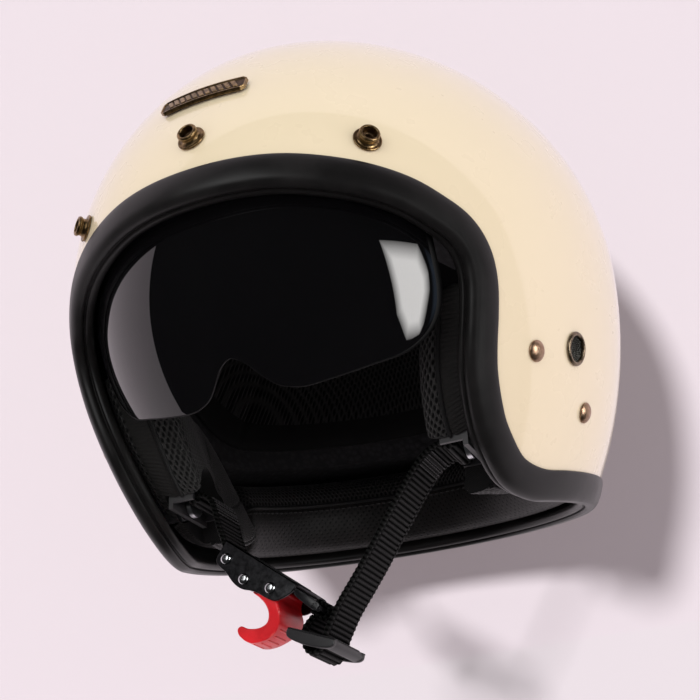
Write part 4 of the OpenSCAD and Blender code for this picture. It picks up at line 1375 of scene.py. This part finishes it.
def add_bartack(piece, path, at):
    """Three rows of thread across the band, from a distance along it."""
    path, along = even_path(path, 0.3)
    normals = left_of(tangents(path))
    zs = np.linspace(-8.6, 8.6, 9)
    arch = np.sin(np.linspace(0, np.pi, 6))[:, None]
    for row in range(3):
        i = int(np.argmin(np.abs(along - (at + row * 1.6))))
        for z0, z1 in zip(zs[:-1], zs[1:]):
            for sign in (1, -1):
                flat = path[i] + normals[i] * sign * (1.05 + 0.14 * arch)
                thread = np.column_stack([flat, np.linspace(z0 + 0.2, z1 - 0.2, 6)])
                piece.solid(strap_place(tube(thread, 0.27, around=6)), slots=1)


def build_band(side, path, loops):
    piece = Piece()
    add_webbing(piece, path)
    for loop in loops:
        add_loop(piece, *loop)
    for at in (5.5, 9.5):
        add_bartack(piece, path, at)
    name = "strap_webbing_" + side
    piece.build(name + "_band", ["webbing", "thread"], "webbing", name, body="strap")


# Slide outlines: x, y in the slide's axes
SLIDE_END = [(-10.2, -1.1), (-9.3, -1.9), (0, -2.0), (9.6, -1.9), (10.4, -1.1), (10.4, 0.7),
             (8.4, 2.1), (3, 2.9), (-3, 2.9), (-8.4, 2.1), (-10.2, 0.7)]
SLIDE_BARS = [
    [(-10.2, -0.9), (-9.2, -1.8), (-7.3, -1.8), (-7.1, 0.9), (-7.5, 2.1), (-8.6, 1.9),
     (-10.1, 0.6)],
    [(-1.9, -1.5), (-0.2, -1.9), (1.5, -1.5), (1.6, 0), (0, 0.85), (-1.9, 0)],
    [(6.3, -1.8), (9.4, -1.8), (10.3, -0.9), (10.3, 0.6), (8.6, 1.9), (7.0, 2.3), (6.2, 1.4)]]


def build_slide():
    """Two end blocks joined by three bars, one of them ribbed."""
    piece = Piece()
    for z0, z1 in ((-13.8, -11.5), (11.5, 13.8)):
        piece.prism(spline_loop(SLIDE_END, 4), z0, z1, 0.55, slide_place)
    for bar in SLIDE_BARS:
        piece.prism(spline_loop(bar, 4), -12, 12, 0.2, slide_place)
    rib = rounded_rect(7.0, 9.6, -2.15, -1.6, 0.25, steps=3)
    for z in np.arange(-9.5, 9.6, 1.9):
        piece.prism(rib, z - 0.42, z + 0.42, 0.15, slide_place)
    piece.build("strap_slide_moulding", ["black"], "black_plastic", "strap_slide",
                body="strap", sharp=40)


# Buckle outlines: x, y in the buckle's axes
BUCKLE_CHEEK = [
    (-4.4, -5.6), (-3.8, -6), (10, -6), (32.6, -6), (33.5, -5.2), (33.5, -2.6), (31.8, 0.6),
    (29.5, 3.4), (27, 4.3), (24, 4.6), (20.5, 4.7), (17, 5.4), (14, 6.5), (11, 6.8), (7.5, 6.2),
    (3, 4.6), (-0.5, 4.1), (-3, 3.4), (-4.3, 1.6), (-4.5, -1.5)]
TONGUE_ARM = [(35, -4.6), (41, -4.6), (46.4, -4.3), (47.2, -2.7), (46.4, -1.2), (41, -1.35),
              (35.5, -2.2), (34.6, -3.6)]
PAWL = [(13, 0.3), (16.5, -0.9), (19.3, -1.85), (20.2, -0.9), (17.4, 0.95), (14.6, 2.6),
        (13.4, 1.6)]
LEVER = [
    (24.5, -1.9), (25.7, -1.58), (26.58, -0.7), (26.9, 0.5), (27.9, 2.2), (29.4, 3.6),
    (32.2, 6.4), (33.6, 10.5), (32.4, 15.4), (29, 19.8), (24.6, 22.6), (19.6, 22.5),
    (17.2, 20.9), (17.9, 19.0), (21.4, 18.2), (25.3, 15.8), (27.9, 12.4), (27.6, 9.2),
    (24.9, 6.9), (21.0, 5.9), (17.6, 5.6), (18.3, 4.4), (20.6, 2.6), (21.6, 0.6),
    (22.42, -0.7), (23.3, -1.58)]
LEVER_RIDGES = [(33.35, 12.2), (32.35, 15.3), (30.7, 17.9), (28.4, 20.2), (25.6, 22.0)]
# Turned profiles: radius, z
PIN = [(0.02, -14), (1.2, -13.95), (1.9, -13.6), (2.25, -13.1), (2.2, -12.68), (1.5, -12.62),
       (1.5, -6), (1.5, 0), (1.5, 6), (1.5, 12.62), (2.2, 12.68), (2.25, 13.1), (1.9, 13.6),
       (1.2, 13.95), (0.5, 13.9), (0.4, 13.6), (0.02, 13.55)]
TONGUE_ROD = [(0.02, -13), (1.3, -13), (1.5, -12.8), (1.5, 12.8), (1.3, 13), (0.02, 13)]
PAWL_BARREL = [(1.6, -9), (2.7, -9), (2.9, -8.7), (2.9, 0), (2.9, 8.7), (2.7, 9), (1.6, 9)]


def build_buckle_frame():
    piece = Piece()
    for z0, z1 in ((-12.5, -11.3), (11.3, 12.5)):
        piece.prism(spline_loop(BUCKLE_CHEEK, 3), z0, z1, 0.35, buckle_place)
    piece.prism(rounded_rect(-4.4, 33.5, -12.4, 12.4, 1.4), -6.0, -4.85, 0.35, flat_place)
    # raised rails on the floor plate
    for z in (-7.2, 7.2):
        piece.prism(rounded_rect(1, 29, z - 0.9, z + 0.9, 0.85), -6.35, -5.9, 0.18, flat_place)
    piece.build("buckle_frame_pressing", ["black_steel"], "black_steel", "buckle_frame",
                body="strap", sharp=40)


def build_pins():
    pins = (("webbing_pin", WEB_PIN), ("pawl_pin", PAWL_PIN), ("lever_pin", LEVER_PIN))
    for name, at in pins:
        Piece().solid(buckle_lathe(spline_line(PIN, 3), 40, at)).build(
            name + "_steel", ["pin"], "pin_steel", name, body="strap", sharp=50)


def build_spring():
    turns = np.linspace(0, 2.6, 90)
    coil, start, pitch = 2.25, 9.5, 0.52
    helix = np.stack([PAWL_PIN[0] + coil * np.cos(2 * np.pi * turns),
                      PAWL_PIN[1] + coil * np.sin(2 * np.pi * turns), start + turns * pitch], -1)
    Piece().solid(buckle_place(tube(helix, 0.27, around=8))).build(
        "pawl_torsion_spring", ["pin"], "zinc_steel", "pawl_spring", body="strap")


def build_tongue():
    tooth_pitch = 2.5
    piece = Piece()
    piece.prism(rounded_rect(8.5, 38.8, -8.5, 8.5, 1.6), -4.6, -2.95, 0.3, flat_place)
    piece.prism(rounded_rect(34.5, 38.8, -13, 13, 0.8), -4.55, -2.9, 0.3, flat_place)
    tooth = arr([(10, -3.05), (12.25, -3.05), (12.3, -2.2), (12.1, -2.2)])
    for i in range(8):
        piece.prism(tooth + [i * tooth_pitch, 0], -7.5, 7.5, 0.03, buckle_place, steps=2)
    for side in (-1, 1):
        z = side * 12.3
        piece.prism(spline_loop(TONGUE_ARM, 4), z - 0.7, z + 0.7, 0.25, buckle_place)
    piece.solid(buckle_lathe(TONGUE_ROD, 32, TONGUE_BAR))
    piece.build("ratchet_tongue_bar", ["gloss_black"], "black_steel", "ratchet_tongue",
                body="tongue", sharp=40)


def build_pawl():
    piece = Piece().ring(buckle_lathe(spline_line(PAWL_BARREL, 3), 40, PAWL_PIN))
    piece.prism(spline_loop(PAWL, 3), -8.9, 8.9, 0.25, buckle_place)
    piece.build("ratchet_pawl_steel", ["zinc"], "zinc_steel", "ratchet_pawl",
                body="pawl", sharp=40)


def lever_place(points):
    """Buckle axes, with the lever narrowing towards its thumb tab."""
    points = arr(points)
    narrowing = 0.42 * smoothstep(points[..., 1], 5, 17)
    z = points[..., 2] * (1 - narrowing)
    return buckle_place(np.stack([points[..., 0], points[..., 1], z], -1))


def build_lever():
    piece = Piece().prism(spline_loop(LEVER, 5), -10.9, 10.9, 0.9, lever_place, steps=6)
    taper = np.clip(np.sin(np.linspace(0.05, np.pi - 0.05, 26)) * 3, 0.2, 1)
    for x, y in LEVER_RIDGES:
        ridge = np.stack([np.full(26, x), np.full(26, y), np.linspace(-8.2, 8.2, 26)], -1)
        piece.solid(lever_place(tube(ridge, 0.5, around=8, taper=taper)))
    piece.build("release_lever_moulding", ["red"], "red_plastic", "buckle_lever",
                body="lever", sharp=38)


build_shell()
build_trim()
build_trim_clip()
build_visor()
build_snap_studs()
build_rivets()
build_vents()
build_badge()
build_cheek(1)
build_cheek(-1)
build_neck_roll()
build_crown()
build_brow()
# loops: start, end, radius
build_band("left", LEFT_BAND, [
    ((ANCHOR_X, 0), (ANCHOR_X, 0), 2.5),
    (on_buckle(*TONGUE_BAR), on_buckle(48.2, TONGUE_BAR[1]), 2.55)])
build_band("right", RIGHT_BAND, [
    ((-ANCHOR_X, 0), (-ANCHOR_X, 0), 2.5),
    (BUCKLE_AT, BUCKLE_AT, 2.5)])
build_slide()
build_buckle_frame()
build_pins()
build_spring()
build_tongue()
build_pawl()
build_lever()

# ------------------------------------------------------------------ CAD pieces that stay
KEPT = {
    "badge_adhesive": "black", "eps_liner": "foam", "cheek_core_left": "core",
    "cheek_core_right": "core", "pad_snap_sockets": "black", "pad_snap_studs": "black",
    "rivet_washers": "zinc", "anchor_plate_left": "zinc", "anchor_plate_right": "zinc",
    "visor_bracket_left": "black", "visor_bracket_right": "black",
    "visor_outer_washers": "nylon", "visor_inner_washers": "nylon", "visor_screws": "zinc",
    "strap_hangers": "black"}
UNBEVELLED = ("eps_liner", "cheek_core_left", "cheek_core_right", "badge_adhesive")
for name, key in KEPT.items():
    ob = frame["nodes"][name]
    ob.data.materials.clear()
    ob.data.materials.append(MATERIALS[key])
    if name not in UNBEVELLED:
        bevel = ob.modifiers.new("bevel", "BEVEL")
        bevel.width = 0.00018
        bevel.segments = 2
        bevel.limit_method = "ANGLE"
        bevel.angle_limit = math.radians(40)
        bevel.use_clamp_overlap = True
    smooth(ob.data, sharp=38)

# ------------------------------------------------------------------ camera
TURN, PITCH, ROLL = 0.375, -0.243, -0.155  # radians
DISTANCE, SHIFT_RIGHT, SHIFT_UP = 596.8, -3.255, -14.50
FOCAL = 66.88286
view_back = arr([math.sin(TURN) * math.cos(PITCH), -math.cos(TURN) * math.cos(PITCH),
                 math.sin(PITCH)])
level_right = unit(np.cross([0, 0, 1.0], view_back))
level_up = np.cross(view_back, level_right)
view_right = math.cos(ROLL) * level_right + math.sin(ROLL) * level_up
view_up = -math.sin(ROLL) * level_right + math.cos(ROLL) * level_up
eye = CENTRE + SHIFT_RIGHT * view_right + SHIFT_UP * view_up + DISTANCE * view_back
camera = link("camera", bpy.data.cameras.new("camera"))
columns = (view_right, view_up, view_back, eye * MM)
camera.matrix_world = Matrix([[c[i] for c in columns] for i in range(3)] + [[0, 0, 0, 1]])
camera.data.sensor_width = 36
camera.data.lens = FOCAL
camera.data.clip_start = 0.01
camera.data.clip_end = 50
scene.camera = camera

# ------------------------------------------------------------------ floor and backdrop
PAPER = (0.871, 0.783, 0.831)  # pale pinkish grey
RIG_CENTRE = Vector((0, -0.014, 0.085))


def bare_material(name):
    material = bpy.data.materials.new(name)
    material.use_nodes = True
    material.node_tree.nodes.clear()
    return material, Nodes(material.node_tree)


def paper_material(name, glow, body):
    """Faintly mottled paper that also glows; its back is see-through."""
    material, n = bare_material(name)
    emission = n.node("Emission", Color=PAPER, Strength=glow)
    mottle = n.ramp(n.node("TexNoise", Scale=40), (0, tuple(c * body * 0.985 for c in PAPER)),
                    (1, tuple(c * body for c in PAPER)))
    lit = n.node("AddShader", emission, n.node("BsdfDiffuse", Color=mottle))
    backfacing = n.node("NewGeometry").outputs["Backfacing"]
    see_through = n.node("BsdfTransparent")
    n.node("OutputMaterial", n.node("MixShader", backfacing, lit, see_through))
    return material


def stage_sheet(name, mesh, material, parent=None):
    mesh.materials.append(material)
    ob = link(name, mesh)
    ob.parent = parent
    return ob


def square_mesh(name, half, z):
    mesh = bpy.data.meshes.new(name)
    corners = [(-half, -half, z), (half, -half, z), (half, half, z), (-half, half, z)]
    mesh.from_pydata(corners, [], [(0, 1, 2, 3)])
    return mesh


def light_group(name, objects, state):
    """A collection for light linking."""
    group = bpy.data.collections.new(name)
    for ob in objects:
        group.objects.link(ob)
    for member in group.collection_objects:
        member.light_linking.link_state = state
    return group


# The rig turns with the camera: its axes are picture right, picture up and towards the eye.
rig = link("rig", None)
rig.location = RIG_CENTRE
rig.constraints.new("COPY_ROTATION").target = camera
floor = stage_sheet("floor", square_mesh("floor", half=15, z=-0.0535),
                    paper_material("floor_paper", glow=0.5, body=0.5))
floor.visible_shadow = False
floor.visible_glossy = False
wall = stage_sheet("backdrop", square_mesh("backdrop", half=15, z=-0.165),
                   paper_material("backdrop_paper", glow=0.1, body=0.35), rig)
papers = light_group("papers", [wall], "INCLUDE")
not_papers = light_group("not_papers", [wall, bpy.data.objects["sun_visor_lens"]], "EXCLUDE")

# ------------------------------------------------------------------ lights
# name, power, place in the rig, seen in reflections
AREA_LIGHTS = [
    ("key", 5.4, (-0.7, 0.8, 1.1), True),
    ("fill", 3.6, (1.0, 0.2, 0.8), True),
    ("low", 1.8, (0.0, -0.9, 0.9), False)]


def aim(ob, direction):
    ob.rotation_mode = "QUATERNION"
    ob.rotation_quaternion = direction.to_track_quat("-Z", "Y")


for name, power, place, glossy in AREA_LIGHTS:
    lamp = bpy.data.lights.new(name, "AREA")
    lamp.shape = "RECTANGLE"
    lamp.size = 0.9
    lamp.size_y = 0.9
    lamp.energy = power
    ob = link(name, lamp)
    ob.parent = rig
    ob.location = place
    aim(ob, Vector((0, 0, 0)) - Vector(place))
    ob.visible_glossy = glossy
    ob.light_linking.receiver_collection = not_papers
sun = link("paper_sun", bpy.data.lights.new("paper_sun", "SUN"))
sun.data.energy = 6.75
sun.data.angle = math.radians(6)
sun.parent = rig
aim(sun, Vector((0.42, -0.35, -1)))
sun.light_linking.receiver_collection = papers

# ------------------------------------------------------------------ reflection cards
# Outlines as they are mirrored in the lens: mm right and up from the sensor's middle.
CARD_RIGHT = [
    (1.49143, 5.65714), (3.44571, 5.45143), (4.01143, 4.01143), (4.06286, 3.08571),
    (3.80571, 1.54286), (3.6, 0.72), (2.88, 0.51429), (2.41714, 1.8), (2.16, 3.39429)]
CARD_DIM = [
    (3.75429, 5.34857), (4.62857, 5.14286), (5.24571, 4.52571), (5.4, 3.34286),
    (5.09143, 2.36571), (4.47429, 1.44), (4.11429, 1.13143), (4.26857, 2.57143),
    (4.21714, 4.01143)]


def lens_bounce(right, up):
    """Where the sight line through a sensor place meets the lens, and where it reflects to."""
    ray = unit(right / FOCAL * view_right + up / FOCAL * view_up - view_back)
    pivot = arr([0, PIVOT_Y, PIVOT_Z])
    scale = 1 / arr([LENS_HALF_WIDTH, LENS_RADIUS, LENS_RADIUS])
    start, step = (eye - pivot) * scale, ray * scale
    a, b, c = step @ step, 2 * start @ step, start @ start - 1
    hit = eye + ray * (-b - math.sqrt(max(0, b * b - 4 * a * c))) / (2 * a)
    normal = unit((hit - pivot) * scale * scale)
    return hit, ray - 2 * (ray @ normal) * normal


def reflection_card(name, outline, glow, distance, tint, rim, core):
    """A soft panel seen only in glossy reflections.

    It glows fully within the core share of its outline and fades to the rim value.
    """
    material, n = bare_material(name)
    soft = n.node("Attribute", props={"attribute_name": "soft"}).outputs["Fac"]
    strength = n.node("Math", soft, glow, props={"operation": "MULTIPLY"})
    n.node("OutputMaterial", n.node("Emission", Color=tint, Strength=strength))
    corners = []
    for place in outline:
        hit, away = lens_bounce(*place)
        point = hit + away * distance - arr(RIG_CENTRE) / MM
        corners.append(tuple(point @ axis * MM for axis in (view_right, view_up, view_back)))
    count = len(corners)
    middle = sum((Vector(v) for v in corners), Vector()) / count
    ring = [tuple(middle + (Vector(v) - middle) * core) for v in corners]
    faces = [tuple(range(count, 2 * count))]
    for i in range(count):
        j = (i + 1) % count
        faces.append((i, j, count + j, count + i))
    mesh = bpy.data.meshes.new(name + "_faded")
    mesh.from_pydata(corners + ring, [], faces)
    fade = mesh.attributes.new("soft", "FLOAT", "POINT")
    fade.data.foreach_set("value", [rim] * count + [1.0] * count)
    ob = stage_sheet(name, mesh, material, rig)
    ob.visible_camera = False
    ob.visible_diffuse = False
    ob.visible_transmission = False
    ob.visible_shadow = False
    ob.light_linking.receiver_collection = not_soft


not_soft = light_group("not_soft", [bpy.data.objects[name] for name in (
    "outer_shell_paint", "edge_trim_rubber", "trim_joint_clip_rubber",
    "strap_webbing_left_band", "strap_webbing_right_band", "neck_roll_cushion")], "EXCLUDE")
reflection_card("card_right", CARD_RIGHT, glow=12.6, distance=1100.0, tint=(1.0, 0.98, 0.965),
                rim=0.14, core=0.62)
reflection_card("card_dim", CARD_DIM, glow=0.42, distance=1150.0, tint=(0.55, 0.72, 1.0),
                rim=0.2, core=0.5)

# ------------------------------------------------------------------ world
AMBIENT, GLOSSY = 0.7, 0.02  # brightness for diffuse and for reflected rays
world = bpy.data.worlds.new("world")
scene.world = world
world.use_nodes = True
nodes = Nodes(world.node_tree)
background = world.node_tree.nodes["Background"]
rays = nodes.node("LightPath").outputs
ambient = (AMBIENT, AMBIENT * 0.985, AMBIENT * 0.975)
unseen = nodes.mix(rays["Is Glossy Ray"], ambient, (GLOSSY, GLOSSY, GLOSSY))
nodes.put(background.inputs[0], nodes.mix(rays["Is Camera Ray"], unseen, PAPER))
background.inputs[1].default_value = 1.0
scene.view_settings.view_transform = "Standard"
scene.view_settings.look = "None"

bpy.context.view_layer.update()
